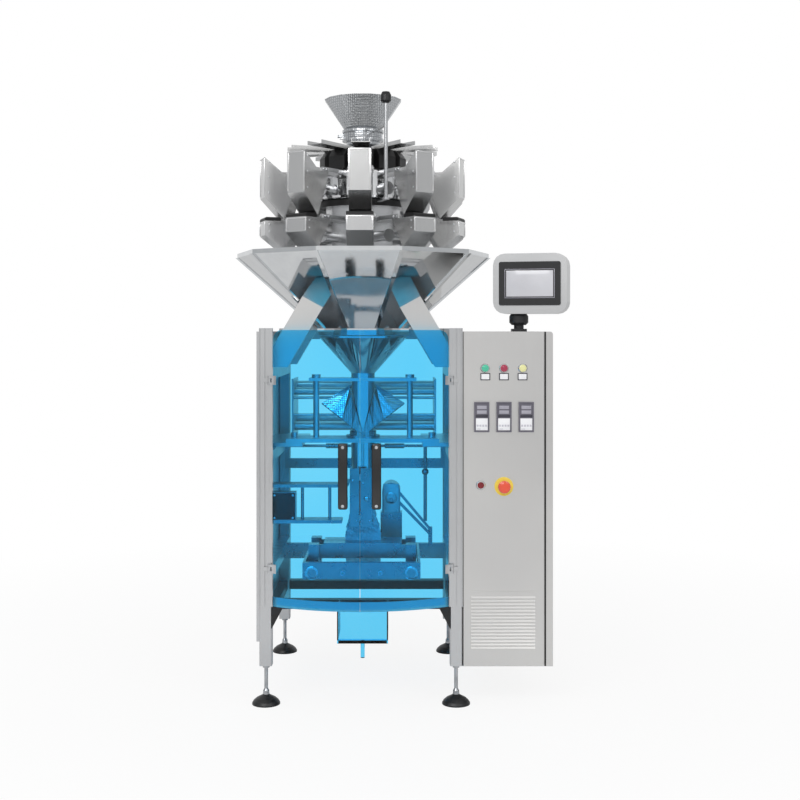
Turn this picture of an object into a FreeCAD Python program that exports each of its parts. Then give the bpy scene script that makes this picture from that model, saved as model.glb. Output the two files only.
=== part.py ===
import FreeCAD, Part
import math
import os
import Sketcher

# Multihead weigher on a vertical form-fill-seal stand.
# Millimetres, +Z up, the machine's front faces -Y.
# Sizes are given about the forming tube's upright axis; axis_x and axis_y then
# carry every sub-part so that the origin lies under the middle of the machine.

Vector = FreeCAD.Vector
Rotation = FreeCAD.Rotation

doc = FreeCAD.newDocument("multihead_weigher")
sheet = doc.addObject("Spreadsheet::Sheet", "Dims")


# ---------------------------------------------------------------- driving dimensions

DIMENSIONS = [
    # frame
    ("axis_x", -123.9, "tube axis to the middle of the machine, across"),
    ("axis_y", -34.1, "tube axis to the middle of the machine, front to back"),
    ("post_side", 40, "side of a square post"),
    ("post_bevel", 3, "bevel on a post's corners"),
    ("post_x", 305, "post centre from the axis, across"),
    ("frame_front", 225, "front faces of the front posts, ahead of the axis"),
    ("frame_back", 455, "back faces of the rear posts, behind the axis"),
    ("post_bottom", 125, "underside of the posts"),
    ("post_top", 1206, "top of the posts"),
    ("leg_rail_top", 1080, "top of the rails that carry the weigher's legs"),
    ("table_rail_top", 812, "top of the rails that carry the former's table"),
    ("jaw_rail_top", 433, "top of the rails that carry the jaw unit"),
    ("base_rail_top", 268, "top of the low rails"),
    ("base_rail_side", 32, "side of a low rail"),
    ("gusset_width", 34, "gusset along its top edge"),
    ("gusset_height", 72, "gusset down the post"),
    ("gusset_top", 317, "top of the gussets"),
    ("gusset_plate", 12, "thickness of a gusset"),
    ("pad_radius", 45, "foot pad radius"),
    ("pad_height", 30, "foot pad height"),
    ("foot_rod_radius", 6, "threaded foot rod radius"),
    ("foot_ball_radius", 10, "ball of the foot"),
    ("foot_nut_radius", 11, "lock nut of the foot"),
    # cladding
    ("stile_inner", 282, "inner edge of a door stile from the axis"),
    ("stile_outer", 325, "outer edge of a door stile from the axis"),
    ("stile_depth", 10, "thickness of a door stile"),
    ("groove_width", 4, "width of a groove in a stile"),
    ("groove_depth", 5, "depth of a groove in a stile"),
    ("groove_first", 21, "first groove from the inner edge"),
    ("groove_second", 37, "second groove from the inner edge"),
    ("cover_thickness", 10, "left side cover over its folded edge"),
    ("cover_bottom", 202, "lower edge of the left side cover"),
    ("cover_setback", 8, "side cover back from the post's front face"),
    # cabinet
    ("cabinet_right", 614, "right side of the cabinet from the axis"),
    ("cabinet_top", 1195, "top of the cabinet"),
    ("cabinet_back", 335, "back of the cabinet"),
    ("cabinet_wall", 3, "sheet of the cabinet"),
    ("cabinet_corner", 9, "corner radius of the cabinet's top"),
    ("panel_left", 328, "left edge of the front panel"),
    ("panel_right", 586, "right edge of the front panel"),
    ("panel_thickness", 10, "front panel with its folded edge"),
    ("seal_width", 6, "gap for the seal beside the front panel"),
    ("louvre_left", 352, "left end of the louvres"),
    ("louvre_length", 205, "length of a louvre"),
    ("louvre_bottom", 181, "foot of the lowest louvre"),
    ("louvre_pitch", 10.75, "louvre spacing"),
    ("louvre_count", 16, "number of louvres"),
    ("louvre_height", 7, "height of a louvre"),
    ("louvre_rise", 4, "a louvre stands out by this"),
    ("louvre_band", 11, "height of the plain band over the louvres"),
    # controls on the panel
    ("lamp_x", 457, "middle lamp from the axis"),
    ("lamp_pitch", 60, "lamp spacing"),
    ("lamp_z", 1078, "height of the lamps"),
    ("bezel_radius", 15, "outer radius of a lamp or button bezel"),
    ("bezel_height", 6, "a bezel stands out by this"),
    ("lens_radius", 11.5, "lens radius"),
    ("lens_height", 13, "lens stands out by this"),
    ("tag_width", 30, "label plate under a lamp, across"),
    ("tag_height", 22, "label plate under a lamp, upright"),
    ("controller_x", 457, "middle controller from the axis"),
    ("controller_pitch", 71, "controller spacing"),
    ("controller_z", 922, "height of the controllers' middle"),
    ("controller_width", 48, "controller face, across"),
    ("controller_height", 96, "controller face, upright"),
    ("controller_rise", 9, "a controller stands out by this"),
    ("controller_rim", 4, "rim round a controller's face"),
    ("controller_recess", 2, "face of a controller below its rim"),
    ("button_x", 383, "push button from the axis"),
    ("button_z", 704, "height of the push button"),
    ("button_radius", 10.5, "push button cap radius"),
    ("button_rise", 8, "push button stands out by this"),
    ("stem_reach", 3, "button stems reach into the panel at rest by this"),
    ("estop_x", 457, "emergency stop from the axis"),
    ("estop_z", 700, "height of the emergency stop"),
    ("estop_ring_radius", 30, "yellow ring radius"),
    ("estop_ring_height", 4, "yellow ring thickness"),
    ("estop_stem_radius", 11, "emergency stop stem radius"),
    ("estop_head_radius", 20, "mushroom head radius"),
    ("estop_under", 14, "underside of the mushroom head from the panel"),
    ("estop_rise", 30, "mushroom head stands out by this"),
    ("stem_clearance", 0.06, "radial clearance of a stem in its bore"),
    # touch panel
    ("hmi_x", 512, "swivel axis of the touch panel, across"),
    ("hmi_y", -150, "swivel axis of the touch panel, front to back"),
    ("hmi_turn", -15, "touch panel turned about its swivel at rest"),
    ("hmi_flange", 48, "side of the swivel's flange"),
    ("hmi_flange_height", 9, "thickness of the swivel's flange"),
    ("hmi_neck_radius", 16, "swivel neck radius"),
    ("hmi_neck_height", 12, "swivel neck height"),
    ("hmi_knuckle_radius", 31, "swivel knuckle radius"),
    ("hmi_knuckle_height", 36, "swivel knuckle height"),
    ("hmi_width", 240, "touch panel case, across"),
    ("hmi_height", 195, "touch panel case, upright"),
    ("hmi_depth", 80, "touch panel case, front to back"),
    ("hmi_corner", 38, "corner radius of the case"),
    ("hmi_shift", 42, "case centre beside the swivel axis"),
    ("hmi_bezel_width", 200, "screen bezel, across"),
    ("hmi_bezel_height", 141, "screen bezel, upright"),
    ("hmi_bezel_rise", 4, "screen bezel stands out by this"),
    ("hmi_screen_width", 154, "display, across"),
    ("hmi_screen_height", 86, "display, upright"),
    ("seat_gap", 0.3, "running gap under a turning piece"),
    # guard doors
    ("door_half", 279, "guard doors from the axis to their hinged edge"),
    ("door_bow", 76, "bow of the guard doors"),
    ("door_edge_y", -243, "outer face of the guard at the hinged edge"),
    ("door_thickness", 5, "guard sheet"),
    ("door_bottom", 320, "lower edge of the guard doors"),
    ("door_top", 1200, "upper edge of the guard doors"),
    ("door_gap", 1.6, "gap between the two guard doors"),
    ("door_corner", 28, "rounding of the upper outer corners"),
    ("handle_near", 38, "inner side of a handle from the axis"),
    ("handle_width", 28, "handle, across"),
    ("handle_bottom", 648, "lower end of the handles"),
    ("handle_top", 847, "upper end of the handles"),
    ("handle_rise", 46, "handle stands out from the guard by this"),
    ("handle_grip", 18, "thickness of the grip"),
    ("handle_foot", 30, "height of a handle's foot"),
    ("hinge_radius", 6, "hinge barrel radius"),
    ("hinge_out", 7, "hinge barrel centre ahead of the stile"),
    ("hinge_x", 291, "hinge barrel centre from the axis"),
    ("hinge_leaf", 22, "hinge leaf from the barrel centre"),
    ("hinge_leaf_thickness", 3, "hinge leaf thickness"),
    ("hinge_fixed", 12, "height of a fixed knuckle"),
    ("hinge_moving", 8, "height of a moving knuckle"),
    ("hinge_low", 440, "height of the lower hinge"),
    ("hinge_high", 1040, "height of the upper hinge"),
    ("sill_gap", 10, "sill behind the guard by this"),
    ("sill_thickness", 3, "sheet of the sill"),
    ("sill_height", 30, "upstand of the sill"),
    # former
    ("tube_radius", 40, "outer radius of the forming tube"),
    ("tube_wall", 2, "wall of the forming tube"),
    ("tube_bottom", 556, "lower end of the forming tube"),
    ("drop_gap", 9, "drop funnel below the chute's outlet"),
    ("cone_radius", 147, "mouth radius of the drop funnel"),
    ("upper_plate_x", 180, "half length of the upper plate"),
    ("upper_plate_y", 46, "half depth of the upper plate"),
    ("plate_drop", 16, "upper plate below the drop funnel's cone"),
    ("plate_seat", 1, "upper plate over the forming collar"),
    ("upper_plate_thickness", 10, "upper plate"),
    ("column_x", 158, "table columns from the axis"),
    ("column_radius", 10, "table column radius"),
    ("column_nut", 11, "height of a column nut"),
    ("table_x", 255, "half length of the table"),
    ("table_y", 66, "half depth of the table"),
    ("table_thickness", 13, "table plate"),
    ("bracket_inner", 200, "table brackets start this far from the axis"),
    ("bracket_thickness", 13, "table bracket plate"),
    ("film_gap", 3, "gap for the film round the forming tube"),
    ("knob_x", 232, "table clamp knobs from the axis"),
    ("knob_radius", 11, "table clamp knob radius"),
    ("knob_height", 16, "table clamp knob height"),
    ("collar_tip_x", 140, "forming collar tips from the axis"),
    ("collar_tip_rise", 115, "forming collar's tips above the table"),
    ("collar_back_y", 92, "forming collar's back edge"),
    ("collar_shoulder", 22, "forming collar's neck at the tube's sides below its top"),
    ("collar_low_rise", 16, "front point of the forming collar above the table"),
    ("collar_height", 190, "forming collar above the table"),
    ("collar_nose", 10, "front point of the forming collar ahead of its neck"),
    ("collar_sheet", 2, "sheet of the forming collar"),
    ("collar_flange", 8, "flange under the forming collar"),
    # film path
    ("film_plate_x", 244, "film side plates from the axis"),
    ("film_plate_thickness", 6, "film side plate"),
    ("film_plate_front", 96, "front edge of the film side plates"),
    ("film_plate_back", 300, "back edge of the film side plates"),
    ("film_plate_top", 1030, "top of the film side plates"),
    ("roller_radius", 14, "film roller radius"),
    ("film_rod_radius", 5, "film guide rod radius"),
    ("infeed_roller_y", 260, "upper rear roller, front to back"),
    ("infeed_roller_z", 1004, "upper rear roller, height"),
    ("print_roller_y", 180, "upper front roller, front to back"),
    ("print_roller_z", 985, "upper front roller, height"),
    ("dancer_roller_y", 250, "lower rear roller, front to back"),
    ("dancer_roller_z", 885, "lower rear roller, height"),
    ("web_roller_y", 170, "lower front roller, front to back"),
    ("web_roller_z", 862, "lower front roller, height"),
    ("film_rod_y", 118, "guide rods, front to back"),
    ("film_rod_low", 905, "height of the lower guide rod"),
    ("film_rod_high", 965, "height of the upper guide rod"),
    # jaws
    ("jaw_half", 130, "half length of a jaw"),
    ("jaw_gap", 6, "gap between the jaws at rest"),
    ("jaw_depth", 56, "jaw block, front to back"),
    ("jaw_bottom", 440, "underside of the jaws"),
    ("jaw_height", 50, "height of the jaws"),
    ("jaw_rod_x", 161, "jaw guide rods from the axis"),
    ("jaw_rod_z", 413, "height of the guide rods"),
    ("jaw_rod_radius", 12.5, "guide rod radius"),
    ("jaw_bearing", 34, "width of a bearing housing"),
    ("jaw_bearing_low", 393, "underside of the bearing housings"),
    ("jaw_bearing_depth", 44, "bearing housing, front to back"),
    ("jaw_clearance", 0.08, "radial clearance on the guide rods"),
    ("crossbar_x", 183, "half length of the front crossbar"),
    ("crossbar_height", 53, "height of a crossbar"),
    ("crossbar_thickness", 20, "crossbar, front to back"),
    ("crossbar_front", 172, "front face of the front crossbar"),
    ("crossbar_back", 190, "front face of the rear crossbar"),
    ("tie_thickness", 8, "side plates that tie the crossbars"),
    ("boss_x", 61, "bolt heads in the front crossbar"),
    ("boss_radius", 14.5, "bolt head radius"),
    ("boss_rise", 8, "bolt heads stand out by this"),
    ("motor_x", 94, "gear motor from the axis"),
    ("motor_width", 64, "gear motor, across"),
    ("motor_top", 665, "top of the gear motor"),
    ("motor_depth", 90, "gear motor, front to back"),
    ("motor_forward", 40, "gear motor ahead of the rear crossbar"),
    ("motor_seat_width", 76, "gear motor's seat, across"),
    ("motor_seat_top", 555, "top of the gear motor's seat"),
    ("motor_seat_over", 30, "gear motor's seat behind the rear crossbar"),
    ("film_half", 66, "half width of the flattened film"),
    ("film_thickness", 3, "flattened film"),
    ("film_pinch", 478, "height where the film is flat"),
    ("film_bottom", 372, "lower end of the film"),
    # left side unit
    ("shelf_thickness", 10, "shelf plate"),
    ("shelf_low", 580, "underside of the lower shelf"),
    ("shelf_high", 695, "underside of the upper shelf"),
    ("shelf_reach", 62, "shelves end this far from the axis"),
    ("shelf_front", 214, "front edge of the shelves"),
    ("shelf_depth", 70, "shelves, front to back"),
    ("shelf_rod_radius", 5, "rods between the shelves"),
    ("shelf_rod_outer", 19, "outer shelf rod from the drive box"),
    ("shelf_rod_inner", 40, "inner shelf rod from the shelf's end"),
    ("drive_box_width", 76, "left drive box, across"),
    ("drive_box_height", 90, "height of the left drive box"),
    ("drive_box_depth", 40, "left drive box, front to back"),
    # right hanging rod
    ("hang_rod_x", 212, "hanging rod from the axis"),
    ("hang_rod_radius", 6, "hanging rod radius"),
    ("hang_rod_bottom", 540, "lower end of the hanging rod"),
    ("hang_ball_z", 710, "ball on the hanging rod"),
    ("hang_ball_radius", 12, "ball radius"),
    ("pull_left", 42, "film pull plates start this far left of the axis"),
    ("pull_split", 11, "left pull plate ends this far left of the axis"),
    ("pull_gap", 5, "gap between the two pull plates"),
    ("pull_width", 38, "right pull plate, across"),
    ("pull_low", 545, "underside of the pull plates"),
    ("pull_height", 195, "height of the pull plates"),
    ("pull_front", 72, "front faces of the pull plates"),
    ("pull_thickness", 10, "pull plate, front to back"),
    ("pull_bridge", 20, "height of the bridges between the pull plates"),
    ("strut_end_x", 232, "strut's lower end from the axis"),
    ("strut_end_z", 496, "strut's lower end, height"),
    ("strut_start_z", 622, "strut's upper end at the gear motor, height"),
    ("strut_width", 14, "width of a strut"),
    ("strut_drop", 34, "second strut below the first at the gear motor"),
    ("tie_y", 250, "rear tie rod, front to back"),
    ("tie_z", 785, "rear tie rod, height"),
    ("tie_rod_radius", 5, "rear tie rod radius"),
    ("tie_sleeve_radius", 9, "sleeve on the rear tie rod"),
    ("tie_sleeve_near", 70, "sleeves on the tie rod start this far from the axis"),
    ("tie_sleeve_far", 140, "sleeves on the tie rod end this far from the axis"),
    ("guide_top", 742, "top of the rear guide bar"),
    ("guide_height", 35, "height of the rear guide bar"),
    ("guide_thickness", 8, "rear guide bar, front to back"),
    ("guide_hanger", 15, "width of the guide bar's hangers"),
    # discharge
    ("discharge_half", 85, "half width of the discharge guard"),
    ("discharge_top", 270, "top of the discharge guard"),
    ("discharge_bottom", 155, "bottom of the discharge guard"),
    ("discharge_sheet", 4, "sheet of the discharge guard"),
    ("discharge_front", 60, "front face of the discharge guard"),
    ("discharge_back", 90, "discharge guard reaches the low cross rail here"),
    ("stud_radius", 7, "stud under the discharge guard"),
    ("stud_bottom", 105, "lower end of the stud"),
    # weigher stand and chute
    ("heads", 10, "number of weighing heads"),
    ("leg_width", 75, "leg bar width"),
    ("leg_thickness", 22, "leg bar thickness"),
    ("leg_foot_x", 281, "leg centre at its foot"),
    ("leg_top_x", 86, "leg centre at its top"),
    ("leg_y", 172, "leg centre ahead of and behind the axis"),
    ("base_plate_x", 128, "half length of the weigher's base plate, across"),
    ("base_plate_y", 192, "half length of the weigher's base plate, front to back"),
    ("stand_height", 334, "weigher's base plate above the leg rails"),
    ("base_plate_thickness", 12, "base plate"),
    ("rim_over", 80, "rim of the collecting chute, at its corners, beyond the hoppers"),
    ("rim_gap", 7, "rim of the chute below the weigh hoppers' tips"),
    ("rim_lip", 14, "upright lip at the rim"),
    ("chute_low_radius", 155, "lower end of the collecting chute, to its corners"),
    ("chute_height", 238, "height of the chute's sloping panels"),
    ("chute_sheet", 3, "sheet of the collecting chute"),
    ("chute_collar", 22, "straight outlet below the collecting chute"),
    ("seam_half", 6, "half width of a seam strip on the chute"),
    ("seam_rise", 6, "a seam strip stands out by this"),
    # column
    ("column_flat", 118, "weigher column, axis to its flats"),
    ("column_height", 182, "weigher column over the base plate"),
    ("drum_radius", 150, "polished drum radius"),
    ("drum_gap", 20, "height of the black ring between the column and the drum"),
    ("ring_in", 4, "black ring smaller in radius than the drum"),
    ("drum_height", 102, "height of the drum"),
    ("drum_round", 14, "edge of the drum"),
    ("boot_low_radius", 112, "inner end of the vibrator boots"),
    ("boot_radius", 142, "outer end of the vibrator boots"),
    ("boot_half", 33, "half width of a vibrator boot"),
    ("boot_height", 67, "height of the vibrator boots"),
    ("boot_chamfer", 16, "sloped upper edges of the boots"),
    ("pan_inner", 78, "inner end of a feeder pan"),
    ("pan_over", 28, "a feeder pan reaches over its hopper's back by this"),
    ("pan_half_inner", 20, "half width of a pan at its inner end"),
    ("pan_half_outer", 30, "half width of a pan at its outer end"),
    ("pan_sheet", 2, "sheet of a pan"),
    ("pan_side", 13, "upstand of a pan's sides"),
    ("spread_radius", 74, "dispersion cone radius"),
    ("spread_height", 26, "dispersion cone height"),
    # infeed
    ("funnel_radius", 131, "infeed funnel mouth radius"),
    ("funnel_height", 102, "height of the infeed funnel's cone"),
    ("funnel_sides", 16, "facets of the infeed funnel"),
    ("funnel_throat", 62, "radius at the foot of the funnel's cone"),
    ("clamp_radius", 70, "clamp ring radius"),
    ("clamp_height", 38, "height of the clamp ring"),
    ("neck_length", 13, "infeed neck below the clamp ring"),
    ("neck_radius", 56.5, "infeed neck radius"),
    ("neck_lift", 25, "infeed neck above the pans' floors"),
    ("funnel_sheet", 2.5, "sheet of the infeed funnel"),
    ("level_rod_r", 259, "level rod from the axis"),
    ("level_rod_radius", 6, "level rod radius"),
    ("level_arm_drop", 13, "level rod's lower arm below the drum"),
    ("level_rod_over", 52, "level rod above the clamp ring"),
    ("level_knob_radius", 17, "knob radius"),
    ("level_knob_height", 34, "knob height"),
    ("level_arm", 7, "thickness of the level rod's arms"),
    ("level_arm_width", 16, "width of the level rod's arms"),
    # feed hoppers, in the plane of one head: radius and height
    ("hopper_out", 345, "outer faces of the hoppers from the axis"),
    ("hopper_sheet", 2, "sheet of the hoppers"),
    ("feed_half", 35.5, "half width of a feed hopper"),
    ("hopper_depth", 119, "back corners of the hoppers from their outer faces"),
    ("feed_over", 35, "top of a feed hopper above the drum"),
    ("feed_face", 131, "height of a feed hopper's outer face"),
    ("feed_tip_in", 63, "lower tip of a feed hopper from its outer face"),
    ("feed_slope", 68, "height of a feed hopper's sloping wall"),
    ("feed_pin_out", 9, "feed gate pin from the hopper's back corner"),
    ("feed_pin_drop", 65, "feed gate pin below the hopper's top"),
    ("feed_back_drop", 55, "back corner of a feed hopper below its top"),
    ("feed_shoulder_in", 57, "where a feed hopper's side starts to rise, from its outer face"),
    # weigh hoppers
    ("weigh_half", 42.5, "half width of a weigh hopper"),
    ("weigh_gap", 9, "top of a weigh hopper below the feed hopper's tip"),
    ("weigh_face", 47, "height of a weigh hopper's outer face"),
    ("weigh_tip_in", 58, "lower tip of a weigh hopper from its outer face"),
    ("weigh_slope", 46, "height of a weigh hopper's sloping wall"),
    ("weigh_pin_out", 12, "weigh gate pin from the hopper's back corner"),
    ("weigh_pin_drop", 11, "weigh gate pin below the hopper's top"),
    # gates and hangers
    ("gate_sheet", 2, "gate plate"),
    ("gate_gap", 0.5, "gap between a closed gate and its hopper"),
    ("gate_barrel", 4.5, "gate barrel radius"),
    ("gate_pin", 2, "gate pin radius"),
    ("gate_pin_clearance", 0.05, "radial clearance of a gate pin"),
    ("gate_side_gap", 0.3, "barrel to side plate"),
    ("gate_web_end", 14, "gate plate starts this far down from its pin"),
    ("gate_end", 3, "gate plate stops this far short of the tip"),
    ("hanger_thickness", 4, "hanger bar"),
    ("hanger_height", 13, "hanger bar, upright"),
    ("hanger_end", 38, "hanger bars run past the hoppers' back corners by this"),
    ("hanger_splay", 40, "a hanger's bars spread over this length"),
    ("cap_in", 53, "rubber cap over a weigh hopper, from its outer face inwards"),
    ("cap_height", 12, "height of a rubber cap"),
    ("lever_in", 34, "roller of a gate's lever nearer the axis than its pin"),
    ("lever_drop", 24, "roller of a gate's lever below its pin"),
    ("lever_thickness", 5, "gate lever"),
    ("lever_width", 8, "width of a gate lever"),
    ("lever_roller", 4, "radius of a lever's roller"),
    ("lever_roller_length", 16, "length of a lever's roller"),
    ("crank_radius", 21, "crank disc of an actuator"),
    ("crank_disc", 5, "thickness of a crank disc"),
    ("crank_arm", 26, "crank pin from the actuator's shaft"),
    ("crank_pin", 4.5, "crank pin radius"),
    ("crank_gap", 6, "crank pin under the lever's roller at rest"),
    ("crank_reach", 33, "a crank pin ends this far short of the gate's pin"),
    ("actuator_radius", 17, "actuator housing radius"),
]


class Size:
    """A sheet expression together with its present value."""

    def __init__(self, text, value):
        self.text = text
        self.value = float(value)

    def __add__(self, other):
        return joined(self, "+", other)

    def __radd__(self, other):
        return joined(other, "+", self)

    def __sub__(self, other):
        return joined(self, "-", other)

    def __rsub__(self, other):
        return joined(other, "-", self)

    def __mul__(self, other):
        return joined(self, "*", other)

    def __rmul__(self, other):
        return joined(other, "*", self)

    def __truediv__(self, other):
        return joined(self, "/", other)

    def __rtruediv__(self, other):
        return joined(other, "/", self)

    def __neg__(self):
        return Size("(0 - " + self.text + ")", -self.value)


def size(thing):
    """A plain number as a Size; a Size as it is."""
    if isinstance(thing, Size):
        return thing
    return Size("(" + repr(float(thing)) + ")", thing)


def joined(first, sign, second):
    a = size(first)
    b = size(second)
    result = {
        "+": a.value + b.value,
        "-": a.value - b.value,
        "*": a.value * b.value,
        "/": a.value / b.value if b.value else 0.0,
    }[sign]
    return Size("(" + a.text + " " + sign + " " + b.text + ")", result)


def root(thing):
    return Size("sqrt(" + thing.text + ")", math.sqrt(thing.value))


def cosine(degrees):
    angle = size(degrees)
    return Size("cos(" + angle.text + ")", math.cos(math.radians(angle.value)))


def sine(degrees):
    angle = size(degrees)
    return Size("sin(" + angle.text + ")", math.sin(math.radians(angle.value)))


class Dimensions:
    """The driving dimensions as attributes."""


S = Dimensions()
for row, (alias, number, note) in enumerate(DIMENSIONS, start=1):
    sheet.set("A%d" % row, note)
    sheet.set("B%d" % row, str(number))
    sheet.setAlias("B%d" % row, alias)
    setattr(S, alias, Size("Dims." + alias, number))
doc.recompute()

# Heights and radii that stack up, each from the piece that carries it.
S.base_plate_low = S.leg_rail_top + S.stand_height
S.column_top = S.base_plate_low + S.base_plate_thickness + S.column_height
S.drum_low = S.column_top + S.drum_gap
S.drum_top = S.drum_low + S.drum_height
S.boot_top = S.drum_top + S.boot_height
S.neck_low = S.boot_top + S.neck_lift
S.clamp_low = S.neck_low + S.neck_length
S.clamp_top = S.clamp_low + S.clamp_height
S.funnel_top = S.clamp_top + S.funnel_height
S.level_rod_low = S.drum_low - S.level_arm_drop
S.level_rod_top = S.clamp_top + S.level_rod_over
S.back_r = S.hopper_out - S.hopper_depth
S.feed_top = S.drum_top + S.feed_over
S.feed_fold = S.feed_top - S.feed_face
S.feed_tip_r = S.hopper_out - S.feed_tip_in
S.feed_tip_z = S.feed_fold - S.feed_slope
S.feed_pin_r = S.back_r + S.feed_pin_out
S.feed_pin_z = S.feed_top - S.feed_pin_drop
S.feed_back_z = S.feed_top - S.feed_back_drop
S.feed_shoulder_r = S.hopper_out - S.feed_shoulder_in
S.weigh_top = S.feed_tip_z - S.weigh_gap
S.weigh_fold = S.weigh_top - S.weigh_face
S.weigh_tip_r = S.hopper_out - S.weigh_tip_in
S.weigh_tip_z = S.weigh_fold - S.weigh_slope
S.weigh_pin_r = S.back_r + S.weigh_pin_out
S.weigh_pin_z = S.weigh_top - S.weigh_pin_drop
S.pan_outer = S.back_r + S.pan_over
S.rim_radius = S.hopper_out + S.rim_over
S.rim_top = S.weigh_tip_z - S.rim_gap
S.chute_low = S.rim_top - S.rim_lip - S.chute_height
S.cone_top = S.chute_low - S.chute_collar - S.drop_gap
S.table_top = S.table_rail_top + S.bracket_thickness + S.table_thickness
S.collar_low_z = S.table_top + S.collar_low_rise
S.collar_tip_z = S.table_top + S.collar_tip_rise
S.collar_top_z = S.table_top + S.collar_height
S.upper_plate_top = S.collar_top_z + S.plate_seat + S.upper_plate_thickness
S.cone_bottom = S.upper_plate_top + S.plate_drop

head_step = 360 / S.heads
half_step = 180 / S.heads
FRONT = -90


# ---------------------------------------------------------------- building blocks

counter = [0]


def name_for(word):
    counter[0] += 1
    return "%s_%03d" % (word, counter[0])


def bind(item, path, amount):
    item.setExpression(path, size(amount).text)


def place(item, x=0, y=0, z=0):
    bind(item, "Placement.Base.x", x)
    bind(item, "Placement.Base.y", y)
    bind(item, "Placement.Base.z", z)
    return item


def turn(item, axis, degrees):
    """Give the item a turn about an axis through its own origin."""
    angle = size(degrees)
    item.Placement = FreeCAD.Placement(Vector(0, 0, 0), Rotation(axis, angle.value))
    return item


def block(x0, x1, y0, y1, z0, z1):
    """Box between two corners."""
    item = doc.addObject("Part::Box", name_for("block"))
    bind(item, "Length", x1 - x0)
    bind(item, "Width", y1 - y0)
    bind(item, "Height", z1 - z0)
    return place(item, x0, y0, z0)


def upright(radius, x, y, z0, z1):
    """Upright cylinder."""
    item = doc.addObject("Part::Cylinder", name_for("upright"))
    bind(item, "Radius", radius)
    bind(item, "Height", z1 - z0)
    return place(item, x, y, z0)


def crosswise(radius, x0, x1, y, z):
    """Cylinder along X."""
    item = doc.addObject("Part::Cylinder", name_for("crosswise"))
    bind(item, "Radius", radius)
    bind(item, "Height", x1 - x0)
    turn(item, Vector(0, 1, 0), 90)
    return place(item, x0, y, z)


def lengthwise(radius, x, y0, y1, z):
    """Cylinder along Y."""
    item = doc.addObject("Part::Cylinder", name_for("lengthwise"))
    bind(item, "Radius", radius)
    bind(item, "Height", y1 - y0)
    turn(item, Vector(1, 0, 0), -90)
    return place(item, x, y0, z)


def ball(radius, x, y, z):
    item = doc.addObject("Part::Sphere", name_for("ball"))
    bind(item, "Radius", radius)
    return place(item, x, y, z)


def cut(base, tool):
    item = doc.addObject("Part::Cut", name_for("cut"))
    item.Base = base
    item.Tool = tool
    return item


def fuse(*shapes):
    item = doc.addObject("Part::MultiFuse", name_for("fuse"))
    item.Shapes = list(shapes)
    return item


def common(first, second):
    item = doc.addObject("Part::MultiCommon", name_for("common"))
    item.Shapes = [first, second]
    return item


def group(*items):
    item = doc.addObject("Part::Compound", name_for("group"))
    item.Links = list(items)
    return item


def outline(body, role, points):
    """Closed sketch of straight lines on an origin plane of the body, each corner bound to the sheet."""
    sketch = body.newObject("Sketcher::SketchObject", name_for("sketch"))
    plane = [feature for feature in body.Origin.OriginFeatures if feature.Role == role][0]
    sketch.AttachmentSupport = [(plane, "")]
    sketch.MapMode = "FlatFace"
    corners = [(size(u), size(v)) for u, v in points]
    count = len(corners)
    for index in range(count):
        u0, v0 = corners[index]
        u1, v1 = corners[(index + 1) % count]
        line = Part.LineSegment(Vector(u0.value, v0.value, 0), Vector(u1.value, v1.value, 0))
        sketch.addGeometry(line, False)
    for index in range(count):
        sketch.addConstraint(Sketcher.Constraint("Coincident", index, 2, (index + 1) % count, 1))
    for index, (u, v) in enumerate(corners):
        for kind, amount in (("DistanceX", u), ("DistanceY", v)):
            number = sketch.addConstraint(Sketcher.Constraint(kind, -1, 1, index, 1, amount.value))
            sketch.setExpression("Constraints[%d]" % number, amount.text)
    return sketch


def pad(role, points, low, high):
    """Straight-sided profile padded square to its plane, from low to high."""
    body = doc.addObject("PartDesign::Body", name_for("pad"))
    feature = body.newObject("PartDesign::Pad", name_for("feature"))
    feature.Profile = outline(body, role, points)
    feature.SideType = "Symmetric"
    bind(feature, "Length", high - low)
    middle = (high + low) / 2
    if role == "XY_Plane":
        return place(body, 0, 0, middle)
    if role == "XZ_Plane":
        return place(body, 0, middle, 0)
    return place(body, middle, 0, 0)


def turned(points):
    """Profile of radius and height revolved about the upright axis."""
    body = doc.addObject("PartDesign::Body", name_for("turned"))
    sketch = outline(body, "XZ_Plane", points)
    feature = body.newObject("PartDesign::Revolution", name_for("feature"))
    feature.Profile = sketch
    feature.ReferenceAxis = (sketch, ["V_Axis"])
    feature.Angle = 360
    return body


def linked(item, word):
    """Link that keeps the item's own placement under its own."""
    link = doc.addObject("App::Link", name_for(word))
    link.LinkedObject = item
    link.LinkTransform = True
    return link


def copy(item, x=0, y=0, z=0):
    return place(linked(item, "copy"), x, y, z)


def spun(item, degrees):
    """Copy of the item turned about the machine's upright axis."""
    link = linked(item, "spun")
    angle = size(degrees)
    link.Placement = FreeCAD.Placement(Vector(0, 0, 0), Rotation(Vector(0, 0, 1), angle.value))
    bind(link, "Placement.Rotation.Angle", angle)
    return link


def heads_of(item):
    """One copy of the item for every weighing head, the first at the front."""
    return [spun(item, FRONT + number * head_step) for number in range(int(S.heads.value))]


def facing_front(item, x, z, reach):
    """Turned piece laid with its axis along -Y, its foot on the face that lies reach ahead of the axis."""
    link = linked(item, "facing")
    link.Placement = FreeCAD.Placement(Vector(0, 0, 0), Rotation(Vector(1, 0, 0), 90))
    return place(link, x, -reach, z)


def prism(flat, z0, z1, count):
    """Upright prism whose flats face the heads; flat is the distance from the axis to a flat."""
    item = doc.addObject("Part::Prism", name_for("prism"))
    bind(item, "Polygon", count)
    bind(item, "Circumradius", flat / cosine(180 / count))
    bind(item, "Height", z1 - z0)
    turn(item, Vector(0, 0, 1), (FRONT + half_step).value)
    return place(item, 0, 0, z0)


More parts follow.
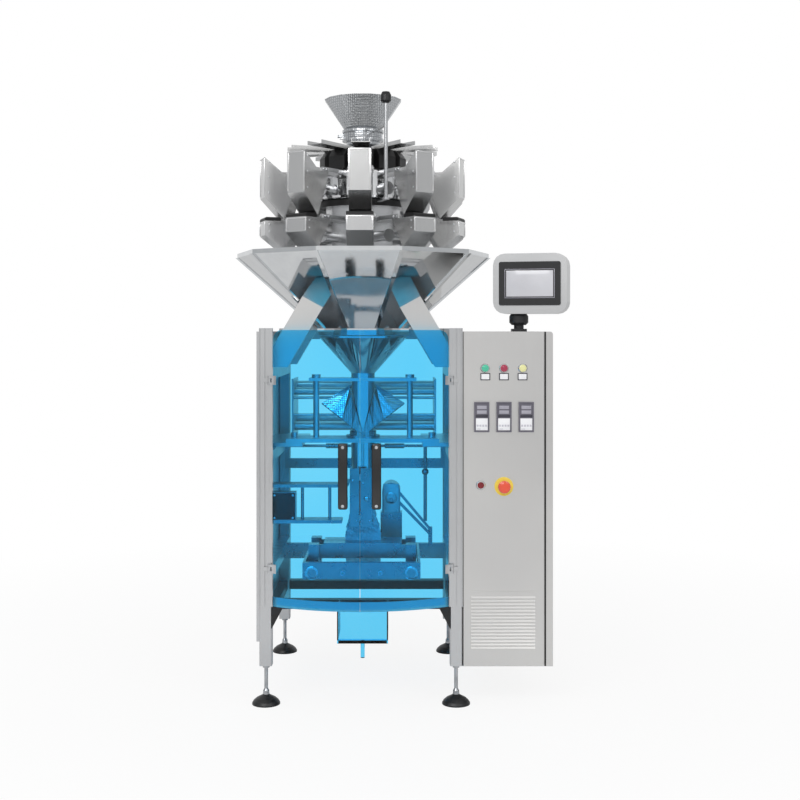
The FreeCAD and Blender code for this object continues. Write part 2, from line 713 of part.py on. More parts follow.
def ring_of(radius, z, sides):
    """Upright polygon with a flat to the front."""
    item = doc.addObject("Part::RegularPolygon", name_for("ring"))
    bind(item, "Polygon", sides)
    bind(item, "Circumradius", radius)
    turn(item, Vector(0, 0, 1), (FRONT + 180 / sides).value)
    return place(item, 0, 0, z)


def faceted(sections, sides):
    """Straight-sided solid through polygons given as radius and height."""
    item = doc.addObject("Part::Loft", name_for("faceted"))
    item.Sections = [ring_of(radius, z, sides) for radius, z in sections]
    item.Solid = True
    item.Ruled = True
    return item


SUBPARTS = []


def subpart(label, *items):
    """Gather the pieces of one sub-part and carry them to the machine's frame."""
    item = doc.addObject("Part::Compound", label)
    item.Links = list(items)
    item.Label = label
    place(item, S.axis_x, S.axis_y, 0)
    SUBPARTS.append(item)


# ---------------------------------------------------------------- frame

post_half = S.post_side / 2
post_inner = S.post_x - post_half
post_outer = S.post_x + post_half
front_inner = S.post_side - S.frame_front
back_inner = S.frame_back - S.post_side


post_rows = (post_half - S.frame_front, S.frame_back - post_half)
post_places = [(x, y) for x in (-S.post_x, S.post_x) for y in post_rows]


def frame_posts():
    a = post_half
    b = post_half - S.post_bevel
    ring = [(b, -a), (a, -b), (a, b), (b, a), (-b, a), (-a, b), (-a, -b), (-b, -a)]
    post = pad("XY_Plane", ring, S.post_bottom, S.post_top)
    subpart("frame_posts", *[copy(post, x, y) for x, y in post_places])


def side_rail(side, top, width):
    """Rail along Y between a front and a rear post."""
    if side < 0:
        return block(-post_outer, width - post_outer, front_inner, back_inner, top - width, top)
    return block(post_outer - width, post_outer, front_inner, back_inner, top - width, top)


def gusset(side):
    corner = side * post_inner
    corners = [
        (corner, S.gusset_top),
        (corner - side * S.gusset_width, S.gusset_top),
        (corner - side * S.gusset_width, S.gusset_top - 8),
        (corner, S.gusset_top - S.gusset_height),
    ]
    return pad("XZ_Plane", corners, -S.frame_front, S.gusset_plate - S.frame_front)


def frame_rails():
    pieces = []
    for side in (-1, 1):
        pieces.append(side_rail(side, S.leg_rail_top, S.post_side))
        pieces.append(side_rail(side, S.table_rail_top, S.post_side))
        pieces.append(side_rail(side, S.jaw_rail_top, S.post_side))
        pieces.append(side_rail(side, S.base_rail_top, S.base_rail_side))
        pieces.append(gusset(side))
    low = S.post_top - S.post_side
    pieces.append(block(-post_inner, post_inner, back_inner, S.frame_back, low, S.post_top))
    low = S.base_rail_top - S.base_rail_side
    pieces.append(block(-post_inner, post_inner, back_inner, S.frame_back, low, S.base_rail_top))
    inner = post_outer - S.base_rail_side
    pieces.append(block(-inner, inner, S.discharge_back, S.discharge_back + S.base_rail_side, low, S.base_rail_top))
    subpart("frame_rails", *pieces)


def levelling_feet():
    rod = S.foot_rod_radius
    ball_z = S.pad_height + S.foot_ball_radius
    foot = turned([
        (0, 0),
        (S.pad_radius, 0),
        (S.pad_radius, 4),
        (S.pad_radius * 0.9, S.pad_height * 0.38),
        (S.pad_radius * 0.7, S.pad_height * 0.64),
        (S.pad_radius * 0.42, S.pad_height * 0.86),
        (S.pad_radius * 0.25, S.pad_height),
        (S.foot_ball_radius, ball_z - 3),
        (S.foot_ball_radius, ball_z + 3),
        (rod, ball_z + S.foot_ball_radius),
        (rod, S.post_bottom - 8),
        (S.foot_nut_radius, S.post_bottom - 8),
        (S.foot_nut_radius, S.post_bottom),
        (0, S.post_bottom),
    ])
    subpart("levelling_feet", *[copy(foot, x, y) for x, y in post_places])


# ---------------------------------------------------------------- cladding and cabinet

stile_face = S.frame_front + S.stile_depth


def stile(side):
    """Extruded stile with two grooves down its face."""
    face = -stile_face
    root_y = face + S.groove_depth
    corners = [(S.stile_inner, -S.frame_front), (S.stile_inner, face)]
    for start in (S.groove_first, S.groove_second):
        near = S.stile_inner + start
        far = near + S.groove_width
        corners += [(near, face), (near, root_y), (far, root_y), (far, face)]
    corners += [(S.stile_outer, face), (S.stile_outer, -S.frame_front)]
    corners = [(side * u, v) for u, v in corners]
    return pad("XY_Plane", corners, S.gusset_top, S.post_top)


def fixed_knuckle(side, z):
    """Hinge barrel on the stile, with its foot."""
    x = side * S.hinge_x
    y = -stile_face - S.hinge_out
    low = z - S.hinge_fixed / 2
    high = z + S.hinge_fixed / 2
    foot = pad("XY_Plane", [
        (x, y - 2),
        (x + side * 20, y + 2),
        (x + side * 20, -stile_face),
        (x - side * 4, -stile_face),
    ], low, high)
    return fuse(upright(S.hinge_radius - 0.5, x, y, low, high), foot)


def frame_cladding():
    pieces = []
    for side in (-1, 1):
        knuckles = [fixed_knuckle(side, z) for z in (S.hinge_low, S.hinge_high)]
        pieces.append(fuse(stile(side), *knuckles))
    outer = -post_outer
    cover = block(outer - S.cover_thickness, outer, S.cover_setback - S.frame_front,
                  S.frame_back - S.cover_setback, S.cover_bottom, S.cabinet_top)
    pieces.append(cover)
    subpart("frame_cladding", *pieces)


panel_back = S.frame_front - S.panel_thickness


def cabinet_side(x0, x1, y0, y1, rounded):
    """Upright block whose top right corner is rounded in short flats."""
    r = S.cabinet_corner if rounded else size(0)
    corners = [(x0, S.post_bottom), (x1, S.post_bottom)]
    if rounded:
        for angle in (0, 30, 60, 90):
            corners.append((x1 - r + r * cosine(angle), S.cabinet_top - r + r * sine(angle)))
    else:
        corners.append((x1, S.cabinet_top))
    corners.append((x0, S.cabinet_top))
    return pad("XZ_Plane", corners, y0, y1)


def cabinet_body():
    wall = S.cabinet_wall
    shell = cabinet_side(post_outer, S.cabinet_right, -panel_back, S.cabinet_back, True)
    flange = cabinet_side(S.panel_right + S.seal_width, S.cabinet_right, -S.frame_front, -panel_back, True)
    hollow = block(post_outer + wall, S.cabinet_right - wall, wall - panel_back, S.cabinet_back - wall,
                   S.post_bottom + wall, S.cabinet_top - wall)
    subpart("cabinet_body", cut(fuse(shell, flange), hollow))


def louvre():
    """One pressed louvre: a wedge along X."""
    face = -S.frame_front
    return pad("YZ_Plane", [
        (face, S.louvre_bottom),
        (face - S.louvre_rise, S.louvre_bottom),
        (face - S.louvre_rise, S.louvre_bottom + 1.5),
        (face, S.louvre_bottom + S.louvre_height),
    ], S.louvre_left, S.louvre_left + S.louvre_length)


def cabinet_panel():
    sheet_block = block(S.panel_left, S.panel_right, -S.frame_front, -panel_back, S.post_bottom, S.cabinet_top)
    for x, z, radius in ((S.button_x, S.button_z, S.button_radius), (S.estop_x, S.estop_z, S.estop_stem_radius)):
        hole = lengthwise(radius + S.stem_clearance, x, -S.frame_front - 5, 5 - panel_back, z)
        sheet_block = cut(sheet_block, hole)
    one = louvre()
    louvres = [copy(one, 0, 0, number * S.louvre_pitch) for number in range(int(S.louvre_count.value))]
    low = S.louvre_bottom + S.louvre_count * S.louvre_pitch
    band = block(S.louvre_left, S.louvre_left + S.louvre_length, -S.frame_front - 2, -S.frame_front,
                 low, low + S.louvre_band)
    subpart("cabinet_panel", fuse(sheet_block, band, *louvres))


# ---------------------------------------------------------------- controls

def control_bezels():
    lamp_ring = turned([
        (0, 0),
        (S.bezel_radius, 0),
        (S.bezel_radius, S.bezel_height - 2),
        (S.bezel_radius - 2, S.bezel_height),
        (0, S.bezel_height),
    ])
    inner = S.button_radius + S.stem_clearance
    button_ring = turned([
        (inner, 0),
        (S.bezel_radius, 0),
        (S.bezel_radius, S.bezel_height - 2),
        (S.bezel_radius - 2, S.bezel_height),
        (inner, S.bezel_height),
    ])
    pieces = []
    for step in (-1, 0, 1):
        x = S.lamp_x + step * S.lamp_pitch
        pieces.append(facing_front(lamp_ring, x, S.lamp_z, S.frame_front))
        tag_top = S.lamp_z - S.bezel_radius - 1
        pieces.append(block(x - S.tag_width / 2, x + S.tag_width / 2, -S.frame_front - 2, -S.frame_front,
                            tag_top - S.tag_height, tag_top))
    pieces.append(facing_front(button_ring, S.button_x, S.button_z, S.frame_front))
    subpart("control_bezels", *pieces)


def pilot_lenses():
    lens = turned([
        (0, 0),
        (S.lens_radius, 0),
        (S.lens_radius, S.lens_height - S.bezel_height - 3),
        (S.lens_radius - 3, S.lens_height - S.bezel_height - 1),
        (S.lens_radius - 7, S.lens_height - S.bezel_height),
        (0, S.lens_height - S.bezel_height),
    ])
    reach = S.frame_front + S.bezel_height
    places = [S.lamp_x + step * S.lamp_pitch for step in (-1, 0, 1)]
    subpart("pilot_lenses", *[facing_front(lens, x, S.lamp_z, reach) for x in places])


def controllers():
    pieces = []
    for step in (-1, 0, 1):
        x = S.controller_x + step * S.controller_pitch
        half = S.controller_width / 2
        tall = S.controller_height / 2
        face = -S.frame_front - S.controller_rise
        case = block(x - half, x + half, face, -S.frame_front, S.controller_z - tall, S.controller_z + tall)
        rim = S.controller_rim
        recess = block(x - half + rim, x + half - rim, face - 5, face + S.controller_recess,
                       S.controller_z - tall + rim, S.controller_z + tall - rim)
        pieces.append(cut(case, recess))
    subpart("controllers", *pieces)


def estop_ring():
    bore = S.estop_stem_radius + S.stem_clearance
    ring = turned([
        (bore, 0),
        (S.estop_ring_radius, 0),
        (S.estop_ring_radius, S.estop_ring_height - 1),
        (S.estop_ring_radius - 1, S.estop_ring_height),
        (bore, S.estop_ring_height),
    ])
    subpart("estop_ring", facing_front(ring, S.estop_x, S.estop_z, S.frame_front))


def estop_head():
    top = S.estop_rise
    under = S.estop_under
    wide = S.estop_head_radius
    head = turned([
        (0, -S.stem_reach),
        (S.estop_stem_radius, -S.stem_reach),
        (S.estop_stem_radius, under),
        (wide - 1, under),
        (wide, under + 2),
        (wide, under + 7),
        (wide * 0.88, top - 3),
        (wide * 0.62, top - 0.8),
        (0, top),
    ])
    subpart("estop_head", facing_front(head, S.estop_x, S.estop_z, S.frame_front))


def start_button():
    cap = turned([
        (0, -S.stem_reach),
        (S.button_radius, -S.stem_reach),
        (S.button_radius, S.button_rise - 1.5),
        (S.button_radius - 1.5, S.button_rise),
        (0, S.button_rise),
    ])
    subpart("start_button", facing_front(cap, S.button_x, S.button_z, S.frame_front))


# ---------------------------------------------------------------- touch panel

knuckle_low = S.cabinet_top + S.hmi_flange_height + S.hmi_neck_height
knuckle_top = knuckle_low + S.hmi_knuckle_height
hmi_low = knuckle_top + S.seat_gap


def hmi_pedestal():
    half = S.hmi_flange / 2
    flange = block(S.hmi_x - half, S.hmi_x + half, S.hmi_y - half, S.hmi_y + half,
                   S.cabinet_top, S.cabinet_top + S.hmi_flange_height)
    wide = S.hmi_knuckle_radius
    top = S.hmi_knuckle_height
    knuckle = turned([
        (0, -S.hmi_neck_height - 2),
        (S.hmi_neck_radius, -S.hmi_neck_height - 2),
        (S.hmi_neck_radius, 0),
        (wide - 8, 0),
        (wide, 8),
        (wide, top - 8),
        (wide - 5, top),
        (0, top),
    ])
    place(knuckle, S.hmi_x, S.hmi_y, knuckle_low)
    subpart("hmi_pedestal", fuse(flange, knuckle))


def hmi_profile(x_low, x_high, z_low, z_high, corner):
    """Rounded rectangle in the plane of the screen, its corners in short flats."""
    corners = []
    for cx, cz, start in (
        (x_high - corner, z_low + corner, 270),
        (x_high - corner, z_high - corner, 0),
        (x_low + corner, z_high - corner, 90),
        (x_low + corner, z_low + corner, 180),
    ):
        for step in (0, 22.5, 45, 67.5, 90):
            corners.append((cx + corner * cosine(start + step), cz + corner * sine(start + step)))
    return corners


def hmi_turned(item):
    """Carry a piece modelled at the swivel's axis to its turned rest place."""
    link = linked(item, "hmi")
    link.Placement = FreeCAD.Placement(Vector(0, 0, 0), Rotation(Vector(0, 0, 1), S.hmi_turn.value))
    return place(link, S.hmi_x, S.hmi_y, hmi_low)


def hmi_box():
    left = S.hmi_shift - S.hmi_width / 2
    right = S.hmi_shift + S.hmi_width / 2
    profile = hmi_profile(left, right, size(0), S.hmi_height, S.hmi_corner)
    subpart("hmi_box", hmi_turned(pad("XZ_Plane", profile, -S.hmi_depth / 2, S.hmi_depth / 2)))


def hmi_screen():
    left = S.hmi_shift - S.hmi_bezel_width / 2
    right = S.hmi_shift + S.hmi_bezel_width / 2
    low = (S.hmi_height - S.hmi_bezel_height) / 2
    face = -S.hmi_depth / 2 - S.hmi_bezel_rise
    bezel = pad("XZ_Plane", hmi_profile(left, right, low, low + S.hmi_bezel_height, size(6)),
                face, -S.hmi_depth / 2)
    half = S.hmi_screen_width / 2
    screen_low = (S.hmi_height - S.hmi_screen_height) / 2
    recess = block(S.hmi_shift - half, S.hmi_shift + half, face - 5, face + 1.5,
                   screen_low, screen_low + S.hmi_screen_height)
    subpart("hmi_screen", hmi_turned(cut(bezel, recess)))


# ---------------------------------------------------------------- guard

bow_radius = (S.door_half * S.door_half + S.door_bow * S.door_bow) / (2 * S.door_bow)
bow_front = S.door_edge_y - S.door_bow
bow_centre = bow_front + bow_radius


def bow_sheet(outer_gap, thickness, low, high):
    """Part of an upright cylinder wall that follows the guard, outer_gap behind its outer face."""
    outer = upright(bow_radius - outer_gap, 0, bow_centre, low, high)
    inner = upright(bow_radius - outer_gap - thickness, 0, bow_centre, low - 5, high + 5)
    return cut(outer, inner)


def guard_door(label, side):
    r = S.door_corner
    corners = [
        (side * S.door_gap / 2, S.door_bottom),
        (side * S.door_half, S.door_bottom),
    ]
    for angle in (0, 22.5, 45, 67.5, 90):
        corners.append((side * (S.door_half - r + r * cosine(angle)), S.door_top - r + r * sine(angle)))
    corners.append((side * S.door_gap / 2, S.door_top))
    window = pad("XZ_Plane", corners, bow_front - 5, S.door_edge_y + 15)
    sheet_wall = bow_sheet(0, S.door_thickness, S.door_bottom - 5, S.door_top + 5)
    subpart(label, common(sheet_wall, window))


def moving_knuckles(side, z):
    """Barrel over and under the fixed knuckle, with one leaf on the face of the guard."""
    x = side * S.hinge_x
    y = -stile_face - S.hinge_out
    gap = S.hinge_fixed / 2 + S.seat_gap
    leaf_low = z - gap - S.hinge_moving
    leaf_high = z + gap + S.hinge_moving
    tip_x = x - side * S.hinge_leaf
    tip_y = bow_face(tip_x)
    near_x = x - side * 14
    near_y = bow_face(near_x)
    t = S.hinge_leaf_thickness
    leaf = pad("XY_Plane", [
        (tip_x, tip_y),
        (near_x, near_y),
        (x - side * 2, y + 1),
        (x, y - S.hinge_radius + 1),
        (near_x, near_y - t * 1.2),
        (tip_x, tip_y - t * 1.2),
    ], leaf_low, leaf_high)
    window = block(x - S.hinge_radius - 2, x + S.hinge_radius + 2, y - 12, y + 12, z - gap, z + gap)
    barrels = [upright(S.hinge_radius - 0.5, x, y, z + gap, leaf_high),
               upright(S.hinge_radius - 0.5, x, y, leaf_low, z - gap)]
    return fuse(cut(leaf, window), *barrels)


def bow_face(x):
    """Y of the guard's outer face at a distance across, less a hair for the seat."""
    return bow_centre - root(bow_radius * bow_radius - x * x) - 0.35


def door_fittings(label, side):
    near = side * S.handle_near
    far = side * (S.handle_near + S.handle_width)
    low_x = min(near.value, far.value)
    x0, x1 = (near, far) if near.value == low_x else (far, near)
    guard_y = bow_face(near)
    out_y = guard_y - S.handle_rise
    profile = [
        (guard_y, S.handle_top),
        (out_y + 14, S.handle_top),
        (out_y, S.handle_top - 20),
        (out_y, S.handle_bottom + 12),
        (out_y + 6, S.handle_bottom + 3),
        (out_y + 14, S.handle_bottom),
        (guard_y, S.handle_bottom),
        (guard_y, S.handle_bottom + S.handle_foot),
        (out_y + S.handle_grip, S.handle_bottom + S.handle_foot + 6),
        (out_y + S.handle_grip, S.handle_top - S.handle_foot - 6),
        (guard_y, S.handle_top - S.handle_foot),
    ]
    handle = pad("YZ_Plane", profile, x0, x1)
    hinges = [moving_knuckles(side, z) for z in (S.hinge_low, S.hinge_high)]
    subpart(label, handle, *hinges)


def sill_tray():
    """Bowed tray inside the foot of the guard: a floor and an upstand."""
    low = S.gusset_top
    high = low + S.sill_height
    wall_x = post_inner
    back = S.gusset_plate - S.frame_front
    front = S.sill_gap + S.door_thickness
    window = block(-wall_x, wall_x, bow_front - 5, back, low - 5, high + 5)
    wall = common(bow_sheet(front, S.sill_thickness, low, high), window)
    disc = upright(bow_radius - front - S.sill_thickness / 2, 0, bow_centre, low, low + S.sill_thickness)
    floor_plate = common(disc, block(-wall_x, wall_x, bow_front - 5, back, low, low + S.sill_thickness))
    subpart("sill_tray", fuse(wall, floor_plate))


# ---------------------------------------------------------------- former and film path

def table_plate():
    top = S.table_rail_top + S.bracket_thickness
    table_top = top + S.table_thickness
    bore = S.tube_radius + S.film_gap
    pieces = []
    for side in (-1, 1):
        x0, x1 = (-post_outer, -S.bracket_inner) if side < 0 else (S.bracket_inner, post_outer)
        pieces.append(block(x0, x1, -S.table_y, S.film_plate_back, S.table_rail_top, top))
    table = block(-S.table_x, S.table_x, -S.table_y, S.table_y, top, table_top)
    plate_low = S.upper_plate_top - S.upper_plate_thickness
    plate = block(-S.upper_plate_x, S.upper_plate_x, -S.upper_plate_y, S.upper_plate_y, plate_low, S.upper_plate_top)
    table = cut(table, upright(bore, 0, 0, top - 5, table_top + 5))
    plate = cut(plate, upright(S.tube_radius, 0, 0, plate_low - 5, S.upper_plate_top + 5))
    columns = []
    for side in (-1, 1):
        x = side * S.column_x
        columns.append(upright(S.column_radius, x, 0, table_top, plate_low))
        columns.append(upright(S.column_radius * 1.5, x, 0, S.upper_plate_top, S.upper_plate_top + S.column_nut))
        columns.append(upright(S.knob_radius, side * S.knob_x, 0, table_top, table_top + S.knob_height))
    pieces.append(fuse(table, plate, *columns))
    subpart("table_plate", *pieces)


def forming_collar():
    """Film shoulder: two wings that turn the flat web over and down into a tube, on a sleeve and a foot."""
    bore = S.tube_radius + S.film_gap
    floor_z = S.table_rail_top + S.bracket_thickness + S.table_thickness
    foot = cut(upright(bore + 14, 0, 0, floor_z, floor_z + S.collar_flange),
               upright(bore, 0, 0, floor_z - 5, floor_z + S.collar_flange + 5))
    sleeve_top = S.collar_low_z + 6
    sleeve = cut(upright(bore + S.collar_sheet, 0, 0, floor_z, sleeve_top),
                 upright(bore, 0, 0, floor_z - 5, sleeve_top + 5))
    subpart("forming_collar", fuse(foot, sleeve, wing(-1), wing(1)))


def wing(side):
    """Thin solid between the neck round the tube and the outer edge of one wing."""
    steps = 6
    neck_radius = (S.tube_radius.value + S.film_gap.value) / math.cos(math.radians(90 / steps)) + 0.2
    top = S.collar_top_z.value
    low = S.collar_low_z.value
    side_z = top - S.collar_shoulder.value
    back = Vector(0, S.collar_back_y.value, top)
    tip = Vector(S.collar_tip_x.value, S.collar_back_y.value * 0.1, S.collar_tip_z.value)
    front = Vector(0, -neck_radius - S.collar_nose.value, low - 3)
    neck = []
    edge = []
    for step in range(steps + 1):
        angle = math.radians(90 - 180 * step / steps)
        if angle > 0:
            height = side_z + (top - side_z) * math.sin(angle)
        else:
            height = low + (side_z - low) * math.cos(angle)
        neck.append(Vector(neck_radius * math.cos(angle), neck_radius * math.sin(angle), height))
        if step <= 2:
            edge.append(back + (tip - back) * (step / 2))
        else:
            edge.append(tip + (front - tip) * ((step - 2) / (steps - 2)))
    middle = 0.3
    for point in neck + edge:
        point.x = side * max(point.x, middle)
    drop = Vector(0, 0, -2 * S.collar_sheet.value)
    triangles = []
    for step in range(steps):
        triangles.append((neck[step], edge[step], edge[step + 1]))
        triangles.append((neck[step], edge[step + 1], neck[step + 1]))
    faces = []
    for a, b, c in triangles:
        faces.append(Part.Face(Part.makePolygon([a, b, c, a])))
        faces.append(Part.Face(Part.makePolygon([a + drop, b + drop, c + drop, a + drop])))
    border = neck + list(reversed(edge)) + [neck[0]]
    for a, b in zip(border, border[1:]):
        faces.append(Part.Face(Part.makePolygon([a, b, b + drop, a + drop, a])))
    solid = Part.makeSolid(Part.makeShell(faces))
    if solid.Volume < 0:
        solid.reverse()
    item = doc.addObject("Part::Feature", name_for("wing"))
    item.Shape = solid
    return item


def forming_tube():
    outer = S.tube_radius
    inner = S.tube_radius - S.tube_wall
    sheet_gap = S.tube_wall
    profile = [
        (inner, S.tube_bottom),
        (outer, S.tube_bottom),
        (outer, S.cone_bottom),
        (S.cone_radius, S.cone_top),
        (S.cone_radius, S.cone_top + 6),
        (S.cone_radius - sheet_gap, S.cone_top + 6),
        (S.cone_radius - sheet_gap, S.cone_top + 1),
        (inner, S.cone_bottom + 1),
    ]
    subpart("forming_tube", turned(profile))


def film_rollers():
    pieces = []
    low = S.table_rail_top + S.bracket_thickness
    for side in (-1, 1):
        x0, x1 = (-S.film_plate_x - S.film_plate_thickness, -S.film_plate_x)
        if side > 0:
            x0, x1 = (S.film_plate_x, S.film_plate_x + S.film_plate_thickness)
        pieces.append(block(x0, x1, S.film_plate_front, S.film_plate_back, low, S.film_plate_top))
    wide = S.film_plate_x
    for y, z in (
        (S.infeed_roller_y, S.infeed_roller_z),
        (S.print_roller_y, S.print_roller_z),
        (S.dancer_roller_y, S.dancer_roller_z),
        (S.web_roller_y, S.web_roller_z),
    ):
        pieces.append(crosswise(S.roller_radius, -wide, wide, y, z))
    for z in (S.film_rod_low, S.film_rod_high):
        pieces.append(crosswise(S.film_rod_radius, -wide, wide, S.film_rod_y, z))
    subpart("film_rollers", *pieces)


def film_bag():
    """Film below the tube, drawn flat between the jaws."""
    def section(half_x, half_y, z):
        item = doc.addObject("Part::Plane", name_for("section"))
        bind(item, "Length", 2 * half_x)
        bind(item, "Width", 2 * half_y)
        return place(item, -half_x, -half_y, z)
    item = doc.addObject("Part::Loft", name_for("film"))
    flat = S.film_thickness / 2
    item.Sections = [
        section(S.tube_radius * 0.9, S.tube_radius * 0.9, S.tube_bottom),
        section(S.film_half * 0.85, S.tube_radius * 0.4, (S.tube_bottom + S.film_pinch * 2) / 3),
        section(S.film_half, flat, S.film_pinch + 14),
        section(S.film_half, flat, S.film_bottom),
    ]
    item.Solid = True
    item.Ruled = True
    subpart("film_bag", item)


# ---------------------------------------------------------------- jaws and drives

def jaw(label, side):
    """Jaw block with its two bearing housings; side -1 is the front jaw."""
    face = S.jaw_gap / 2
    far = face + S.jaw_depth
    y0, y1 = (face, far) if side > 0 else (-far, -face)
    bar = block(-S.jaw_half, S.jaw_half, y0, y1, S.jaw_bottom, S.jaw_bottom + S.jaw_height)
    pieces = [bar]
    h0 = far - 12
    h1 = h0 + S.jaw_bearing_depth
    b0, b1 = (h0, h1) if side > 0 else (-h1, -h0)
    for hand in (-1, 1):
        x = hand * S.jaw_rod_x
        half = S.jaw_bearing / 2
        pieces.append(block(x - half, x + half, b0, b1, S.jaw_bearing_low, S.jaw_bottom + S.jaw_height))
    back0, back1 = (far - 12, far) if side > 0 else (-far, 12 - far)
    pieces.append(block(-S.jaw_rod_x, S.jaw_rod_x, back0, back1, S.jaw_bottom, S.jaw_bottom + S.jaw_height - 6))
    solid = fuse(*pieces)
    for hand in (-1, 1):
        bore = lengthwise(S.jaw_rod_radius + S.jaw_clearance, hand * S.jaw_rod_x, b0 - 5, b1 + 5, S.jaw_rod_z)
        solid = cut(solid, bore)
    subpart(label, solid)


def jaw_drive():
    low = S.jaw_rail_top - S.post_side
    high = low + S.crossbar_height
    front0 = -S.crossbar_front
    front1 = S.crossbar_thickness - S.crossbar_front
    back0 = S.crossbar_back
    back1 = S.crossbar_back + S.crossbar_thickness
    pieces = [
        block(-S.crossbar_x, S.crossbar_x, front0, front1, low, high),
        block(-post_inner, post_inner, back0, back1, low, high),
    ]
    for side in (-1, 1):
        x0, x1 = (-S.crossbar_x - S.tie_thickness, -S.crossbar_x)
        if side > 0:
            x0, x1 = (S.crossbar_x, S.crossbar_x + S.tie_thickness)
        pieces.append(block(x0, x1, front0, back0, low, high))
        pieces.append(lengthwise(S.jaw_rod_radius, side * S.jaw_rod_x, front1, back0, S.jaw_rod_z))
        for x in (S.boss_x, S.jaw_rod_x):
            pieces.append(lengthwise(S.boss_radius, side * x, front0 - S.boss_rise, front0, S.jaw_rod_z))
    half = S.motor_seat_width / 2
    seat = block(S.motor_x - half, S.motor_x + half, back0, back1 + S.motor_seat_over, high,
                 S.motor_seat_top)
    half = S.motor_width / 2
    near = back0 - S.motor_forward
    body = block(S.motor_x - half, S.motor_x + half, near, near + S.motor_depth,
                 S.motor_seat_top, S.motor_top - half)
    dome = lengthwise(half, S.motor_x, near, near + S.motor_depth, S.motor_top - half)
    shaft = lengthwise(10, S.motor_x, near - 12, near, S.motor_top - half * 1.9)
    motor = fuse(body, dome)
    inner = -S.shelf_reach
    shelves = []
    for z in (S.shelf_low, S.shelf_high):
        shelves.append(block(-post_inner, inner, -S.shelf_front, S.shelf_depth - S.shelf_front,
                             z, z + S.shelf_thickness))
    for x in (S.drive_box_width - post_inner + S.shelf_rod_outer, inner - S.shelf_rod_inner):
        shelves.append(upright(S.shelf_rod_radius, x, S.shelf_depth / 2 - S.shelf_front,
                               S.shelf_low + S.shelf_thickness, S.shelf_high))
    rod_y = S.film_plate_front
    rod = upright(S.hang_rod_radius, S.hang_rod_x, rod_y, S.hang_rod_bottom, S.table_rail_top)
    knob = ball(S.hang_ball_radius, S.hang_rod_x, rod_y, S.hang_ball_z)
    box = block(-post_inner, S.drive_box_width - post_inner, -S.shelf_front, S.drive_box_depth - S.shelf_front,
                S.shelf_low + S.shelf_thickness, S.shelf_low + S.shelf_thickness + S.drive_box_height)
    subpart("jaw_drive", *pieces, seat, motor, shaft, box, *shelves, fuse(rod, knob),
            *pull_plates(), *struts(), *rear_ties())


def pull_plates():
    """Two plates of the film pull ahead of the tube, with bridges and an arm from the upper shelf."""
    y0 = -S.pull_front
    y1 = S.pull_thickness - S.pull_front
    low = S.pull_low
    high = low + S.pull_height
    near = -S.pull_split
    far = S.pull_gap - S.pull_split
    pieces = [
        block(-S.pull_left, near, y0, y1, low, high),
        block(far, far + S.pull_width, y0, y1, low, high),
    ]
    for z in (low + S.pull_bridge, high - 2 * S.pull_bridge):
        pieces.append(block(near, far, y0, y1, z, z + S.pull_bridge))
    top = S.shelf_high + S.shelf_thickness
    back = S.shelf_depth - S.shelf_front
    pieces.append(block(-S.shelf_reach, -S.pull_left, back - 2 * S.pull_bridge, y1, S.shelf_high, top))
    return pieces


def struts():
    """Two flat struts from the gear motor down to a post on the rear crossbar."""
    y0 = S.crossbar_back - S.pull_thickness
    start_x = S.motor_x + S.motor_width / 2
    half = S.strut_width / 2
    pieces = []
    for drop in (0, S.strut_drop):
        z = S.strut_start_z - drop
        end = S.strut_end_z - drop / 2
        pieces.append(pad("XZ_Plane", [
            (start_x, z - half),
            (start_x, z + half),
            (S.strut_end_x, end + half),
            (S.strut_end_x, end - half),
        ], y0, S.crossbar_back))
    foot = S.jaw_rail_top - S.post_side + S.crossbar_height
    post = block(S.strut_end_x - half, S.strut_end_x + half, S.crossbar_back,
                 S.crossbar_back + S.crossbar_thickness, foot, S.strut_end_z + half)
    return pieces + [post]


def rear_ties():
    """Tie rod with two sleeves, and a guide bar on two hangers, between the side rails."""
    y = S.tie_y
    pieces = [crosswise(S.tie_rod_radius, -post_inner, -S.tie_sleeve_far, y, S.tie_z),
              crosswise(S.tie_sleeve_radius, -S.tie_sleeve_far, -S.tie_sleeve_near, y, S.tie_z),
              crosswise(S.tie_rod_radius, -S.tie_sleeve_near, S.tie_sleeve_near, y, S.tie_z),
              crosswise(S.tie_sleeve_radius, S.tie_sleeve_near, S.tie_sleeve_far, y, S.tie_z),
              crosswise(S.tie_rod_radius, S.tie_sleeve_far, post_inner, y, S.tie_z)]
    y0 = y - S.tie_sleeve_radius - S.guide_thickness
    y1 = y - S.tie_sleeve_radius
    pieces.append(block(-post_inner, post_inner, y0, y1, S.guide_top - S.guide_height, S.guide_top))
    for x0, x1 in ((-post_inner, S.guide_hanger - post_inner), (post_inner - S.guide_hanger, post_inner)):
        pieces.append(block(x0, x1, y0, y1, S.guide_top, S.tie_z))
    return pieces


def discharge_guard():
    """Front sheet and two cheeks round the bags' way out, with a stud under the front bar."""
    wide = S.discharge_half
    t = S.discharge_sheet
    front = -S.discharge_front
    panel = block(-wide, wide, front, front + t, S.discharge_bottom, S.discharge_top)
    cheeks = []
    for side in (-1, 1):
        x0, x1 = (-wide, t - wide) if side < 0 else (wide - t, wide)
        cheeks.append(block(x0, x1, front + t, S.discharge_back, S.discharge_bottom + 10, S.discharge_top))
    bar = block(t - wide, wide - t, front + t, front + t + 20, S.discharge_bottom, S.discharge_bottom + 10)
    stud = upright(S.stud_radius, 0, front + t + 10, S.stud_bottom, S.discharge_bottom)
    subpart("discharge_guard", panel, bar, stud, *cheeks)


# ---------------------------------------------------------------- weigher stand and chute

leg_low = S.leg_rail_top
leg_high = S.base_plate_low


